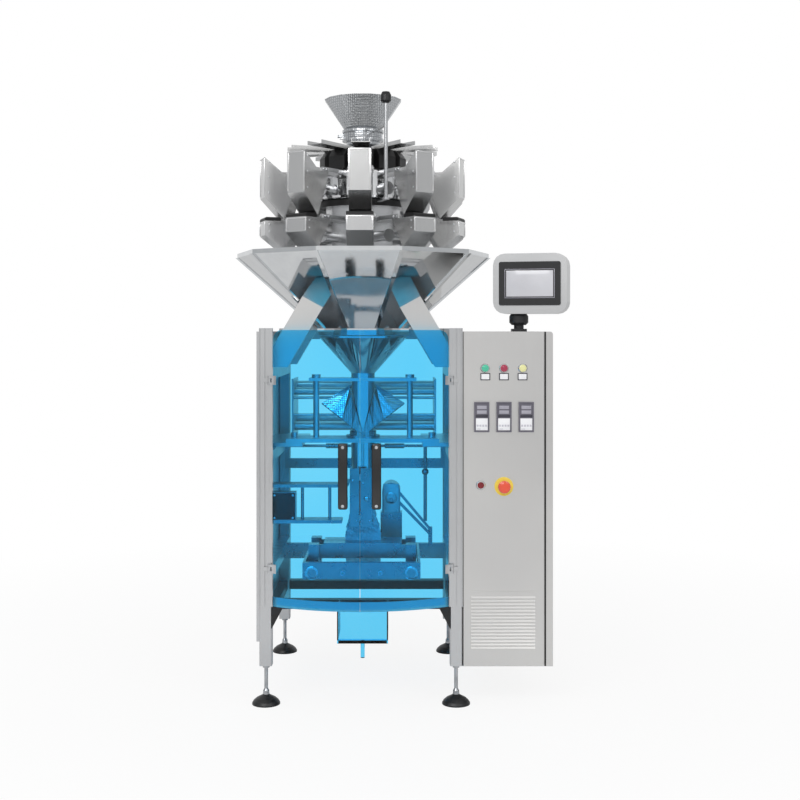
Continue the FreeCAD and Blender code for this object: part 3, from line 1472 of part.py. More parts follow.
def leg(hand, ahead):
    """Flat bar leaning in from a side rail to the base plate."""
    run = S.leg_foot_x - S.leg_top_x
    rise = leg_high - leg_low
    half = S.leg_width / 2 * root(run * run + rise * rise) / rise
    foot = S.leg_foot_x
    top = S.leg_top_x
    corners = [(foot - half, leg_low), (foot + half, leg_low), (top + half, leg_high), (top - half, leg_high)]
    corners = [(hand * u, v) for u, v in corners]
    middle = ahead * S.leg_y
    reach = S.leg_thickness / 2
    return pad("XZ_Plane", corners, middle - reach, middle + reach)


def weigher_legs():
    subpart("weigher_legs", *[leg(hand, ahead) for hand in (-1, 1) for ahead in (-1, 1)])


def collecting_chute():
    fold = S.rim_top - S.rim_lip
    outlet = S.chute_low - S.chute_collar
    t = S.chute_sheet
    outer = faceted([(S.chute_low_radius, outlet), (S.chute_low_radius, S.chute_low), (S.rim_radius, fold),
                     (S.rim_radius, S.rim_top)], S.heads)
    inner = faceted([(S.chute_low_radius - t, outlet - 5), (S.chute_low_radius - t, S.chute_low + 1),
                     (S.rim_radius - t, fold + 1), (S.rim_radius - t, S.rim_top + 5)], S.heads)
    shell = cut(outer, inner)
    for hand in (-1, 1):
        for ahead in (-1, 1):
            shell = cut(shell, leg(hand, ahead))
    reach = S.rim_radius + 10
    far = reach * sine(half_step) / cosine(half_step)
    wedge = pad("XY_Plane", [(0, 0), (reach, -far), (reach, far)], outlet - 10, S.rim_top + 10)
    panels = [common(shell, sector) for sector in heads_of(wedge)]
    strip = pad("XZ_Plane", [
        (S.chute_low_radius - 5, S.chute_low),
        (S.chute_low_radius + S.seam_rise, S.chute_low),
        (S.rim_radius + S.seam_rise, fold),
        (S.rim_radius - 5, fold),
    ], -S.seam_half, S.seam_half)
    strip = cut(strip, outer)
    subpart("collecting_chute", *panels, *[spun(seam, half_step) for seam in heads_of(strip)])


def weigher_column():
    top = S.base_plate_low + S.base_plate_thickness
    plate = block(-S.base_plate_x, S.base_plate_x, -S.base_plate_y, S.base_plate_y, S.base_plate_low, top)
    pillar = prism(S.column_flat, top, S.column_top, S.heads)
    ring = upright(S.drum_radius - S.ring_in, 0, 0, S.column_top, S.drum_low)
    subpart("weigher_column", plate, pillar, ring)


def weigher_drum():
    r = S.drum_round
    wide = S.drum_radius
    points = [(0, S.drum_low)]
    for angle in (270, 300, 330, 360):
        points.append((wide - r + r * cosine(angle), S.drum_low + r + r * sine(angle)))
    for angle in (0, 30, 60, 90):
        points.append((wide - r + r * cosine(angle), S.drum_top - r + r * sine(angle)))
    points.append((0, S.drum_top))
    subpart("weigher_drum", turned(points))


def rubber_boots():
    hub = prism(S.boot_low_radius, S.drum_top, S.boot_top, S.heads)
    drop = S.boot_chamfer
    lobe = pad("XZ_Plane", [
        (S.boot_low_radius, S.drum_top),
        (S.boot_radius, S.drum_top),
        (S.boot_radius, S.boot_top - drop * 1.5),
        (S.boot_radius - drop, S.boot_top),
        (S.boot_low_radius, S.boot_top),
    ], -S.boot_half, S.boot_half)
    low = S.weigh_top
    high = S.weigh_top + S.cap_height
    cap = pad("XZ_Plane", [
        (S.hopper_out - S.cap_in, low),
        (S.hopper_out, low),
        (S.hopper_out, high - 4),
        (S.hopper_out - 4, high),
        (S.hopper_out - S.cap_in + 4, high),
        (S.hopper_out - S.cap_in, high - 4),
    ], -S.weigh_half, S.weigh_half)
    subpart("rubber_boots", hub, *heads_of(lobe), *heads_of(cap))


def feeder_pans():
    """Vibrating troughs, each a floor and two sides, round the dispersion cone."""
    low = S.boot_top
    high = low + S.pan_side
    t = S.pan_sheet
    inner = S.pan_inner
    outer = S.pan_outer
    a = S.pan_half_inner
    b = S.pan_half_outer
    floor_plate = pad("XY_Plane", [(inner, -a), (outer, -b), (outer, b), (inner, a)], low, low + t)
    pieces = heads_of(floor_plate)
    for side in (-1, 1):
        wall = pad("XY_Plane", [
            (inner, side * a),
            (outer, side * b),
            (outer, side * (b - t)),
            (inner, side * (a - t)),
        ], low + t, high)
        pieces += heads_of(wall)
    spread = turned([
        (0, low),
        (S.spread_radius, low),
        (S.spread_radius, low + 2),
        (6, low + S.spread_height),
        (0, low + S.spread_height + 1),
    ])
    subpart("feeder_pans", spread, *pieces)


def infeed_funnel():
    t = S.funnel_sheet
    neck = S.neck_radius
    throat = S.funnel_throat
    mouth = S.funnel_radius
    cone_outer = faceted([(throat, S.clamp_top), (mouth, S.funnel_top)], S.funnel_sides)
    cone_inner = faceted([(throat - t, S.clamp_top - 1), (mouth - t, S.funnel_top + 1)], S.funnel_sides)
    cone = cut(cone_outer, cone_inner)
    ring = turned([
        (neck - t, S.neck_low),
        (neck, S.neck_low),
        (neck, S.clamp_low),
        (S.clamp_radius, S.clamp_low),
        (S.clamp_radius, S.clamp_low + 9),
        (S.clamp_radius - 4, S.clamp_low + 12),
        (S.clamp_radius - 4, S.clamp_top - 12),
        (S.clamp_radius, S.clamp_top - 9),
        (S.clamp_radius, S.clamp_top),
        (neck - t, S.clamp_top),
    ])
    middle = (S.clamp_low + S.clamp_top) / 2
    bolt = crosswise(5, -S.clamp_radius - 16, 6 - S.clamp_radius, size(0), middle)
    lug = block(-S.clamp_radius - 9, 6 - S.clamp_radius, size(-9), size(9), middle - 9, middle + 9)
    subpart("infeed_funnel", fuse(cone, ring, bolt, lug))


def funnel_rod():
    """Level rod between two heads, held by an arm from the column and holding the funnel's clamp."""
    r = S.level_rod_r
    half = S.level_arm_width / 2
    rod = upright(S.level_rod_radius, r, 0, S.level_rod_low, S.level_rod_top)
    foot = upright(S.level_rod_radius * 2, r, 0, S.level_rod_low, S.level_rod_low + 6)
    low_arm = block(S.drum_radius - S.ring_in - 10, r, -half, half, S.level_rod_low, S.level_rod_low + S.level_arm)
    middle = (S.clamp_low + S.clamp_top) / 2
    high_arm = block(S.clamp_radius - 4, r, size(-5), size(5), middle - 4, middle + 4)
    knob = turned([
        (0, -4),
        (S.level_rod_radius + 3, -4),
        (S.level_knob_radius, 4),
        (S.level_knob_radius, S.level_knob_height - 12),
        (S.level_knob_radius - 5, S.level_knob_height - 2),
        (0, S.level_knob_height),
    ])
    place(knob, r, 0, S.level_rod_top)
    ring = upright(S.drum_radius - S.ring_in, 0, 0, S.column_top, S.drum_low)
    unit = fuse(rod, foot, cut(low_arm, ring), high_arm, knob)
    subpart("funnel_rod", spun(unit, FRONT + half_step))


# ---------------------------------------------------------------- weighing heads

def pin_hole(r, z, half):
    """Cutter for the gate pin's holes, along the tangent."""
    return along_tangent(S.gate_pin + S.gate_pin_clearance, r, z, half + 5)


def along_tangent(radius, r, z, half):
    """Cylinder across the plane of a head, half to each side."""
    item = doc.addObject("Part::Cylinder", name_for("tangent"))
    bind(item, "Radius", radius)
    bind(item, "Height", 2 * half)
    turn(item, Vector(1, 0, 0), -90)
    return place(item, r, -half, z)


def hopper(half, side_outline, top, fold, tip_r, tip_z, pin_r, pin_z):
    """Two side plates with the gate pin's holes, and the folded outer wall between them."""
    t = S.hopper_sheet
    out = S.hopper_out
    inside = half - t
    pieces = []
    for low, high in ((-half, -inside), (inside, half)):
        pieces.append(cut(pad("XZ_Plane", side_outline, low, high), pin_hole(pin_r, pin_z, half)))
    run = out - tip_r
    rise = fold - tip_z
    slant = root(run * run + rise * rise)
    fold_in = t * (slant - run) / rise
    pieces.append(pad("XZ_Plane", [(out, top), (out, fold), (out - t, fold + fold_in), (out - t, top)],
                      -inside, inside))
    pieces.append(pad("XZ_Plane", [(out, fold), (tip_r, tip_z), (tip_r - t * rise / slant, tip_z + t * run / slant),
                                   (out - t, fold + fold_in)], -inside, inside))
    return [head for piece in pieces for head in heads_of(piece)]


def feed_hopper():
    side_outline = [
        (S.hopper_out, S.feed_top),
        (S.hopper_out, S.feed_fold),
        (S.feed_tip_r, S.feed_tip_z),
        (S.back_r, S.feed_back_z),
        (S.back_r, S.feed_back_z + 8),
        (S.feed_shoulder_r, S.feed_back_z + 8),
    ]
    return hopper(S.feed_half, side_outline, S.feed_top, S.feed_fold, S.feed_tip_r, S.feed_tip_z,
                  S.feed_pin_r, S.feed_pin_z)


def weigh_hopper():
    ear_top = S.weigh_top + S.hanger_height
    side_outline = [
        (S.hopper_out, S.weigh_top),
        (S.hopper_out, S.weigh_fold),
        (S.weigh_tip_r, S.weigh_tip_z),
        (S.back_r, S.weigh_top),
        (S.back_r, ear_top),
        (S.back_r + S.hanger_end + 8, ear_top),
        (S.back_r + S.hanger_end + 20, S.weigh_top),
    ]
    return hopper(S.weigh_half, side_outline, S.weigh_top, S.weigh_fold, S.weigh_tip_r, S.weigh_tip_z,
                  S.weigh_pin_r, S.weigh_pin_z)


def gate(half, pin_r, pin_z, tip_r, tip_z, back_r, back_z):
    """Gate in the plane of its head: barrel and pin, narrow web, then the plate over the hopper's back edges."""
    along_r = tip_r - back_r
    along_z = tip_z - back_z
    length = root(along_r * along_r + along_z * along_z)
    dr = along_r / length
    dz = along_z / length
    nr = dz
    nz = -dr
    def at(down, away):
        return (back_r + dr * down + nr * away, back_z + dz * down + nz * away)
    near = S.gate_gap
    far = S.gate_gap + S.gate_sheet
    start = (pin_r - back_r) * dr + (pin_z - back_z) * dz
    inside = half - S.hopper_sheet - S.gate_side_gap
    plate = pad("XZ_Plane", [at(start + S.gate_web_end, near), at(length - S.gate_end, near),
                             at(length - S.gate_end, far), at(start + S.gate_web_end, far)], -half, half)
    web = pad("XZ_Plane", [(pin_r, pin_z + 2), at(start + S.gate_web_end + 2, near),
                           at(start + S.gate_web_end + 2, far), at(start + 2, far)], -inside, inside)
    barrel = along_tangent(S.gate_barrel, pin_r, pin_z, inside)
    pin = along_tangent(S.gate_pin, pin_r, pin_z, half)
    roller = along_tangent(S.lever_roller, pin_r - S.lever_in, pin_z - S.lever_drop, S.lever_roller_length / 2)
    return fuse(plate, web, barrel, pin, lever(pin_r, pin_z), roller)


def lever(pin_r, pin_z):
    """Lever from a gate's barrel in and down to its roller."""
    length = root(S.lever_in * S.lever_in + S.lever_drop * S.lever_drop)
    across_r = S.lever_drop / length * S.lever_width / 2
    across_z = S.lever_in / length * S.lever_width / 2
    end_r = pin_r - S.lever_in
    end_z = pin_z - S.lever_drop
    half = S.lever_thickness / 2
    return pad("XZ_Plane", [
        (pin_r - across_r, pin_z + across_z),
        (pin_r + across_r, pin_z - across_z),
        (end_r + across_r * 0.8, end_z - across_z * 0.8),
        (end_r - across_r * 0.8, end_z + across_z * 0.8),
    ], -half, half)


def outwards(radius, r0, r1, t, z):
    """Cylinder that points away from the machine's axis in the plane of a head."""
    item = doc.addObject("Part::Cylinder", name_for("outwards"))
    bind(item, "Radius", radius)
    bind(item, "Height", r1 - r0)
    turn(item, Vector(0, 1, 0), 90)
    return place(item, r0, t, z)


def actuator(inner_r, pin_r, pin_z):
    """Housing on the column or drum, crank disc and crank, whose pin lifts the lever's roller."""
    end = pin_r - S.crank_reach
    pin_low = pin_z - S.lever_drop - S.lever_roller - S.crank_gap - S.crank_pin
    disc_far = end - S.lever_roller_length
    disc_near = disc_far - S.crank_disc
    shaft_t = -S.crank_arm
    disc = outwards(S.crank_radius, disc_near, disc_far, shaft_t, pin_low)
    housing = outwards(S.actuator_radius, inner_r, disc_near, shaft_t, pin_low)
    arm = pad("YZ_Plane", [
        (shaft_t, pin_low - S.crank_pin * 2),
        (size(0), pin_low - S.crank_pin),
        (size(0), pin_low + S.crank_pin),
        (shaft_t, pin_low + S.crank_pin * 2),
    ], disc_near, disc_far)
    crank_pin = outwards(S.crank_pin, disc_near, end, size(0), pin_low)
    return [fuse(housing, disc), cut(fuse(arm, crank_pin), disc)]


def hanger(half, inner_r, low):
    """Fork from the column to the outer faces of a hopper's sides."""
    t = S.hanger_thickness
    outer = half + t
    bend = inner_r + S.hanger_splay
    root_half = S.boot_half
    corners = [
        (inner_r, -root_half),
        (inner_r + 16, -root_half),
        (bend, -outer),
        (S.back_r + S.hanger_end, -outer),
        (S.back_r + S.hanger_end, -half),
        (bend + 2, -half),
        (inner_r + 18, t - root_half + 2),
        (inner_r + 18, root_half - t - 2),
        (bend + 2, half),
        (S.back_r + S.hanger_end, half),
        (S.back_r + S.hanger_end, outer),
        (bend, outer),
        (inner_r + 16, root_half),
        (inner_r, root_half),
    ]
    return pad("XY_Plane", corners, low, low + S.hanger_height)


def weighing_heads():
    subpart("feed_hoppers", *feed_hopper())
    subpart("weigh_hoppers", *weigh_hopper())
    drum = turned([(0, S.drum_low), (S.drum_radius, S.drum_low), (S.drum_radius, S.drum_top), (0, S.drum_top)])
    feed = cut(hanger(S.feed_half, S.drum_radius - 10, S.feed_back_z - 2), drum)
    weigh = hanger(S.weigh_half, S.column_flat, S.weigh_top)
    column = spun(prism(S.column_flat, S.base_plate_low, S.column_top, S.heads), half_step)
    pieces = [feed, weigh]
    pieces += [cut(piece, drum) for piece in actuator(S.drum_radius - 10, S.feed_pin_r, S.feed_pin_z)]
    pieces += [cut(piece, column) for piece in actuator(S.column_flat - 5, S.weigh_pin_r, S.weigh_pin_z)]
    subpart("hopper_brackets", *[head for piece in pieces for head in heads_of(piece)])
    feed_gate = gate(S.feed_half, S.feed_pin_r, S.feed_pin_z, S.feed_tip_r, S.feed_tip_z,
                     S.back_r, S.feed_back_z)
    weigh_gate = gate(S.weigh_half, S.weigh_pin_r, S.weigh_pin_z, S.weigh_tip_r, S.weigh_tip_z,
                      S.back_r, S.weigh_top)
    for number, piece in enumerate(heads_of(feed_gate), start=1):
        subpart("feed_gate_%02d" % number, piece)
    for number, piece in enumerate(heads_of(weigh_gate), start=1):
        subpart("weigh_gate_%02d" % number, piece)


# ---------------------------------------------------------------- build, check and write

frame_posts()
frame_rails()
levelling_feet()
frame_cladding()
cabinet_body()
cabinet_panel()
control_bezels()
pilot_lenses()
controllers()
estop_ring()
estop_head()
start_button()
hmi_pedestal()
hmi_box()
hmi_screen()
guard_door("left_guard_door", -1)
guard_door("right_guard_door", 1)
door_fittings("left_door_handle", -1)
door_fittings("right_door_handle", 1)
sill_tray()
table_plate()
forming_collar()
forming_tube()
film_rollers()
film_bag()
jaw("jaw_front", -1)
jaw("jaw_rear", 1)
jaw_drive()
discharge_guard()
weigher_legs()
collecting_chute()
weigher_column()
weigher_drum()
rubber_boots()
feeder_pans()
infeed_funnel()
funnel_rod()
weighing_heads()
doc.recompute()

for item in doc.Objects:
    if "Invalid" in item.State or "Error" in item.State:
        raise RuntimeError(item.Name + " failed: " + str(item.State))
for item in SUBPARTS:
    if item.Shape.isNull() or not item.Shape.isValid() or not item.Shape.Solids:
        raise RuntimeError(item.Label + " is not a valid solid")

os.makedirs("parts", exist_ok=True)
whole = FreeCAD.BoundBox()
for item in SUBPARTS:
    whole.add(item.Shape.optimalBoundingBox())
    item.Shape.exportStep(os.path.join("parts", item.Label + ".step"))
print("%d sub-parts" % len(SUBPARTS))
print("X %.2f %.2f  Y %.2f %.2f  Z %.2f %.2f" % (
    whole.XMin, whole.XMax, whole.YMin, whole.YMax, whole.ZMin, whole.ZMax))
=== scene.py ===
# %% [markdown]
# A multihead weigher on its bagging stand, dressed for the camera.
# The engineering model gives every plate, hopper and hinge its true size. This lesson
# adds what a designer leaves to the finish: brushed and polished steel, tinted guards,
# dials, seams, film and small hardware. Every length is in metres, +Z is up, and the
# guarded front faces -Y.

# %% The fixed frame
import math

import bpy
from mathutils import Matrix, Vector, noise


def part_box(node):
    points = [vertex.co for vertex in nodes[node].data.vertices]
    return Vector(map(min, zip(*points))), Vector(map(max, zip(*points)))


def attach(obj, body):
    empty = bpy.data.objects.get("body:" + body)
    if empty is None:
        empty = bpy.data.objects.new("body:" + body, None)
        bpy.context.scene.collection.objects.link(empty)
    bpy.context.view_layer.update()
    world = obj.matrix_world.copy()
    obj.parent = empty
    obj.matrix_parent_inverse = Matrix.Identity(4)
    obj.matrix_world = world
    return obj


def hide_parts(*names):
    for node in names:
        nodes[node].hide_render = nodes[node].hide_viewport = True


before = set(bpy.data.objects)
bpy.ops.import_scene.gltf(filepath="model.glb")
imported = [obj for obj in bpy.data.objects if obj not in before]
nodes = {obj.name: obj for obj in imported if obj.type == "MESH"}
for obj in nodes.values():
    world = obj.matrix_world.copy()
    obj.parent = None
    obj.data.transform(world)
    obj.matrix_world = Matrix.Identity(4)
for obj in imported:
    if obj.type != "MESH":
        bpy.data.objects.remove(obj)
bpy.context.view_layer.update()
MM = 0.001
tube_low, tube_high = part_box("forming_tube")
AXIS = Vector(((tube_low.x + tube_high.x) / 2, (tube_low.y + tube_high.y) / 2, 0))

# %% [markdown]
# The camera stands at chest height, a good four metres in front, and looks level, so that the
# posts stay upright. A longish lens fills the frame, and a small shift of the lens takes in the
# feet without tilting the camera, as a view camera does.

# %% Camera
scene = bpy.context.scene
lens = bpy.data.cameras.new("studio_camera")
lens.sensor_width = 36
lens.lens = 54.9
lens.clip_end = 50
camera = bpy.data.objects.new("studio_camera", lens)
lens.shift_y = -0.0875
camera.location = (0.001, -4.159, 1.2)
camera.rotation_euler = (math.radians(90), 0, 0)
scene.collection.objects.link(camera)
scene.camera = camera
scene.view_settings.view_transform = "Standard"
print("camera", tuple(round(v, 3) for v in camera.location))

# %% [markdown]
# Colours are written as people pick them, as sRGB hex. Shaders work in linear light, so one
# function turns a hex value to linear. One more adds a node with its settings and links.

# %% Colour and node helpers
def linear(text, alpha=1.0):
    parts = [int(text[i:i + 2], 16) / 255 for i in (1, 3, 5)]
    return tuple(p / 12.92 if p <= 0.04045 else ((p + 0.055) / 1.055) ** 2.4 for p in parts) + (alpha,)


def add(tree, kind, settings=None, **inputs):
    """Add a node; settings are its properties, inputs are values or other nodes' sockets."""
    item = tree.nodes.new(kind)
    for name, value in (settings or {}).items():
        setattr(item, name, value)
    for name, value in inputs.items():
        socket = item.inputs[int(name[1:])] if name[0] == "_" else item.inputs[name.replace("_", " ")]
        if isinstance(value, bpy.types.NodeSocket):
            tree.links.new(value, socket)
        else:
            socket.default_value = value
    return item


def material(name, **shader):
    """A material with one Principled shader; the values are set on its own sockets."""
    made = bpy.data.materials.new(name)
    made.use_nodes = True
    tree = made.node_tree
    surface = tree.nodes["Principled BSDF"]
    for key, value in shader.items():
        surface.inputs[key.replace("_", " ")].default_value = value
    return made, tree, surface


def ramp(tree, source, stops):
    """Colour ramp from (place, colour) stops."""
    item = add(tree, "ShaderNodeValToRGB", _0=source)
    bar = item.color_ramp
    while len(bar.elements) < len(stops):
        bar.elements.new(0.5)
    for element, (place, colour) in zip(bar.elements, stops):
        element.position = place
        element.color = colour
    return item.outputs["Color"]


def span(tree, source, low, high, out_low, out_high):
    item = add(tree, "ShaderNodeMapRange", _0=source, _1=low, _2=high, _3=out_low, _4=out_high)
    return item.outputs[0]


def wear(made, *names):
    for name in names:
        node = nodes[name]
        node.data.materials.clear()
        node.data.materials.append(made)


# %% [markdown]
# Brushed stainless sheet: austenitic steel, ground with a 180 grit belt and left bare.
# The grit leaves lines about 0.1 mm apart. Those are too fine to show from four metres, so they
# are drawn some 2 mm apart and 150 mm long. They shift the roughness and the tone a little,
# and a slow cloud gives the faint bloom that such sheet has.

# %% Brushed stainless
def brushed(name, tone, dark, grain, rough=0.34, cross=(500, 500, 8), lift=0.03):
    made, tree, surface = material(name, Metallic=1.0, Anisotropic=0.35)
    place = add(tree, "ShaderNodeTexCoord").outputs["Object"]
    lines = add(tree, "ShaderNodeMapping", Vector=place, Scale=cross)
    streak = add(tree, "ShaderNodeTexNoise", Vector=lines.outputs[0], Scale=1.0, Detail=3.0, Roughness=0.6)
    cloud = add(tree, "ShaderNodeTexNoise", Vector=place, Scale=3.2, Detail=1.5, Roughness=0.4)
    blend = add(tree, "ShaderNodeMath", {"operation": "MULTIPLY_ADD"}, _0=streak.outputs[0], _1=grain,
                _2=cloud.outputs[0])
    colour = ramp(tree, blend.outputs[0], [(0.3, linear(dark)), (0.7 + grain, linear(tone))])
    tree.links.new(colour, surface.inputs["Base Color"])
    gloss = span(tree, streak.outputs[0], 0.3, 0.7, rough - lift, rough + lift)
    tree.links.new(gloss, surface.inputs["Roughness"])
    bump = add(tree, "ShaderNodeBump", Strength=0.02, Distance=0.0003, Height=streak.outputs[0])
    tree.links.new(bump.outputs[0], surface.inputs["Normal"])
    return made


satin_upright = brushed("stainless_belt_ground_upright", "#dbdad8", "#d0cfce", 0.12, rough=0.36)
satin_level = brushed("stainless_belt_ground_level", "#d6d6d6", "#c9cacb", 0.12, cross=(8, 8, 500))
# The folded-edge steel is near white: a painted highlight along the hopper rims.
rim_steel_painted_highlight = brushed("stainless_folded_edge_polished_painted_highlight", "#f4f4f4", "#ebebec", 0.06, rough=0.2,
                    cross=(260, 260, 20))
satin_fine = brushed("stainless_fine_satin", "#d9d9d8", "#cdcdce", 0.08, rough=0.22, cross=(260, 260, 20))
frame_steel = brushed("stainless_tube_ground", "#cfd0d1", "#c0c1c3", 0.12, rough=0.3)
print("brushed steels:", satin_upright.name, satin_level.name, satin_fine.name, frame_steel.name)

# %% [markdown]
# Bright polished stainless, as on the chute, drum and funnel: rolled sheet buffed to a near
# mirror. Thin sheet is never quite flat, so a slow swell of a few tenths of a millimetre
# bends its reflections.

# %% Polished stainless
def polished(name, tone, dark, rough, swell, size):
    made, tree, surface = material(name, Metallic=1.0)
    place = add(tree, "ShaderNodeTexCoord").outputs["Object"]
    wave = add(tree, "ShaderNodeTexNoise", Vector=place, Scale=size, Detail=1.0, Roughness=0.4)
    smear = add(tree, "ShaderNodeTexNoise", Vector=place, Scale=26.0, Detail=4.0, Roughness=0.6)
    colour = ramp(tree, smear.outputs[0], [(0.3, linear(dark)), (0.7, linear(tone))])
    tree.links.new(colour, surface.inputs["Base Color"])
    gloss = span(tree, smear.outputs[0], 0.3, 0.7, rough * 0.7, rough * 1.5)
    tree.links.new(gloss, surface.inputs["Roughness"])
    bump = add(tree, "ShaderNodeBump", Strength=0.35, Distance=swell, Height=wave.outputs[0])
    tree.links.new(bump.outputs[0], surface.inputs["Normal"])
    return made


mirror_sheet = polished("stainless_sheet_buffed", "#dfe1e2", "#d6d8da", 0.06, 0.003, 5.0)
mirror_tube = polished("stainless_tube_buffed", "#e2e3e4", "#dadbdd", 0.07, 0.0015, 8.0)
print("polished steels:", mirror_sheet.name, mirror_tube.name)

# %% [markdown]
# Dimpled stainless: thin sheet rolled with a pattern of shallow bumps, so that light and sticky food slides
# off. The bumps are 3 mm across, drawn at 7 mm so that they show, and they turn a plain reflection into small
# bright and dark spots. The colour paints those spots as well: a painted highlight in the middle of each
# dimple and painted shade towards its rim.

# %% Dimpled stainless
dimpled, tree, surface = material("stainless_sheet_dimple_rolled", Metallic=1.0, Roughness=0.16)
place = add(tree, "ShaderNodeTexCoord").outputs["Object"]
dimples = add(tree, "ShaderNodeTexVoronoi", Vector=place, Scale=1 / (7 * MM), Randomness=0.25)
# Painted reflection: the tone is light in each dimple's middle and dark towards its rim.
colour = ramp(tree, dimples.outputs["Distance"], [(0.1, linear("#dcdee0")), (0.6, linear("#a9acaf"))])
tree.links.new(colour, surface.inputs["Base Color"])
bump = add(tree, "ShaderNodeBump", Strength=0.5, Distance=0.0012, Height=dimples.outputs["Distance"])
tree.links.new(bump.outputs[0], surface.inputs["Normal"])
print("dimpled sheet:", dimpled.name)

# %% [markdown]
# Machined steel and milled aluminium: tool marks in short arcs and a slightly darker, greyer
# tone. Both are bare metal, so only the tone, the roughness and the mark size differ.

# %% Machined metals
def machined(name, tone, dark, rough, size):
    made, tree, surface = material(name, Metallic=1.0)
    place = add(tree, "ShaderNodeTexCoord").outputs["Object"]
    marks = add(tree, "ShaderNodeTexNoise", Vector=place, Scale=size, Detail=5.0, Roughness=0.65)
    colour = ramp(tree, marks.outputs[0], [(0.3, linear(dark)), (0.7, linear(tone))])
    tree.links.new(colour, surface.inputs["Base Color"])
    gloss = span(tree, marks.outputs[0], 0.3, 0.7, rough - 0.07, rough + 0.07)
    tree.links.new(gloss, surface.inputs["Roughness"])
    return made


machined_steel = machined("steel_machined_and_ground", "#b9bbbe", "#a4a7ab", 0.3, 22.0)
milled_plate = machined("aluminium_plate_milled", "#dfe0e1", "#d2d3d5", 0.34, 20.0)
print("machined metals:", machined_steel.name, milled_plate.name)

# %% [markdown]
# Plastics and rubber. Moulded parts carry a spark-eroded grain of about 0.3 mm, drawn as a
# fine bump. Gloss parts have none. Rubber is duller and never quite even in tone.

# %% Plastics and rubber
def moulded(name, tone, dark, rough, grain=0.0, coat=0.0, **more):
    made, tree, surface = material(name, Coat_Weight=coat, Coat_Roughness=0.08, **more)
    place = add(tree, "ShaderNodeTexCoord").outputs["Object"]
    cloud = add(tree, "ShaderNodeTexNoise", Vector=place, Scale=18.0, Detail=3.0, Roughness=0.5)
    colour = ramp(tree, cloud.outputs[0], [(0.3, linear(dark)), (0.7, linear(tone))])
    tree.links.new(colour, surface.inputs["Base Color"])
    gloss = span(tree, cloud.outputs[0], 0.3, 0.7, rough - 0.04, rough + 0.05)
    tree.links.new(gloss, surface.inputs["Roughness"])
    if grain:
        pits = add(tree, "ShaderNodeTexNoise", Vector=place, Scale=1600.0, Detail=2.0, Roughness=0.5)
        bump = add(tree, "ShaderNodeBump", Strength=0.25, Distance=grain, Height=pits.outputs[0])
        tree.links.new(bump.outputs[0], surface.inputs["Normal"])
    return made


black_rubber = moulded("rubber_black_pressed", "#121213", "#0a0a0b", 0.5, 0.0004)
black_coat = moulded("alloy_black_powder_coated", "#1a1b1d", "#101113", 0.42, 0.0003)
grey_case = moulded("abs_dark_grey_moulded", "#6b6873", "#5d5b66", 0.42, 0.0002)
dark_band = moulded("abs_charcoal_moulded", "#3c3b46", "#32313b", 0.36, 0.0002)
pale_key = moulded("abs_off_white_moulded", "#f0f0f2", "#e6e6ea", 0.4, 0.0002)
grey_key = moulded("silicone_key_grey", "#c9c8d0", "#bcbbc4", 0.5)
lcd_face = moulded("lcd_glass_unlit", "#a6a4ae", "#9b99a4", 0.16, coat=0.4)
screen_face = moulded("lcd_screen_glass", "#c9c9ce", "#c1c1c6", 0.1, coat=0.6)
yellow_ring = moulded("abs_yellow_moulded", "#f3db5c", "#edcf45", 0.38, 0.0002)
red_head = moulded("abs_red_gloss_moulded", "#ea5a3c", "#de4a30", 0.2, coat=0.4)
dark_cap = moulded("abs_dark_red_gloss_moulded", "#8c1420", "#6e0d18", 0.18, coat=0.4)
bezel_plate = machined("brass_chrome_plated", "#e2e2e1", "#c9c9c9", 0.16, 90.0)
screen_frame = moulded("acrylic_black_gloss", "#101114", "#08090b", 0.12, coat=0.5)
print("plastics:", grey_case.name, yellow_ring.name, red_head.name)

# %% [markdown]
# The guards are 5 mm polycarbonate sheet, dyed blue right through. Light crosses two faces,
# and each takes its share of the tint, so white seen through one sheet turns cyan and steel
# behind it turns deep blue. The faces are glossy with a trace of extrusion waviness.

# %% Tinted polycarbonate
guard_sheet, tree, surface = material("polycarbonate_blue_extruded", Transmission_Weight=1.0, IOR=1.3,
                                      Roughness=0.02, Specular_IOR_Level=0.5)
place = add(tree, "ShaderNodeTexCoord").outputs["Object"]
veil = add(tree, "ShaderNodeTexNoise", Vector=place, Scale=2.4, Detail=1.0, Roughness=0.4)
colour = ramp(tree, veil.outputs[0], [(0.25, linear("#5acdfa")), (0.75, linear("#70d7fb"))])
tree.links.new(colour, surface.inputs["Base Color"])
wave = add(tree, "ShaderNodeTexNoise", Vector=place, Scale=5.0, Detail=0.0)
bump = add(tree, "ShaderNodeBump", Strength=0.1, Distance=0.002, Height=wave.outputs[0])
tree.links.new(bump.outputs[0], surface.inputs["Normal"])
# Lamp light has to reach the mechanism through the sheet, tinted as it would be.
passing = add(tree, "ShaderNodeBsdfTransparent", Color=linear("#9fdcfa"))
shadow = add(tree, "ShaderNodeLightPath").outputs["Is Shadow Ray"]
sheet_out = add(tree, "ShaderNodeMixShader", _0=shadow, _1=surface.outputs[0], _2=passing.outputs[0])
tree.links.new(sheet_out.outputs[0], tree.nodes["Material Output"].inputs["Surface"])
print("guard sheet:", guard_sheet.name)

# %% [markdown]
# Three pilot lamps share one node: green, red and yellow lenses from left to right. The
# material reads the place across the panel and picks the colour, because one mould in three
# dyes is just what a lamp maker does.

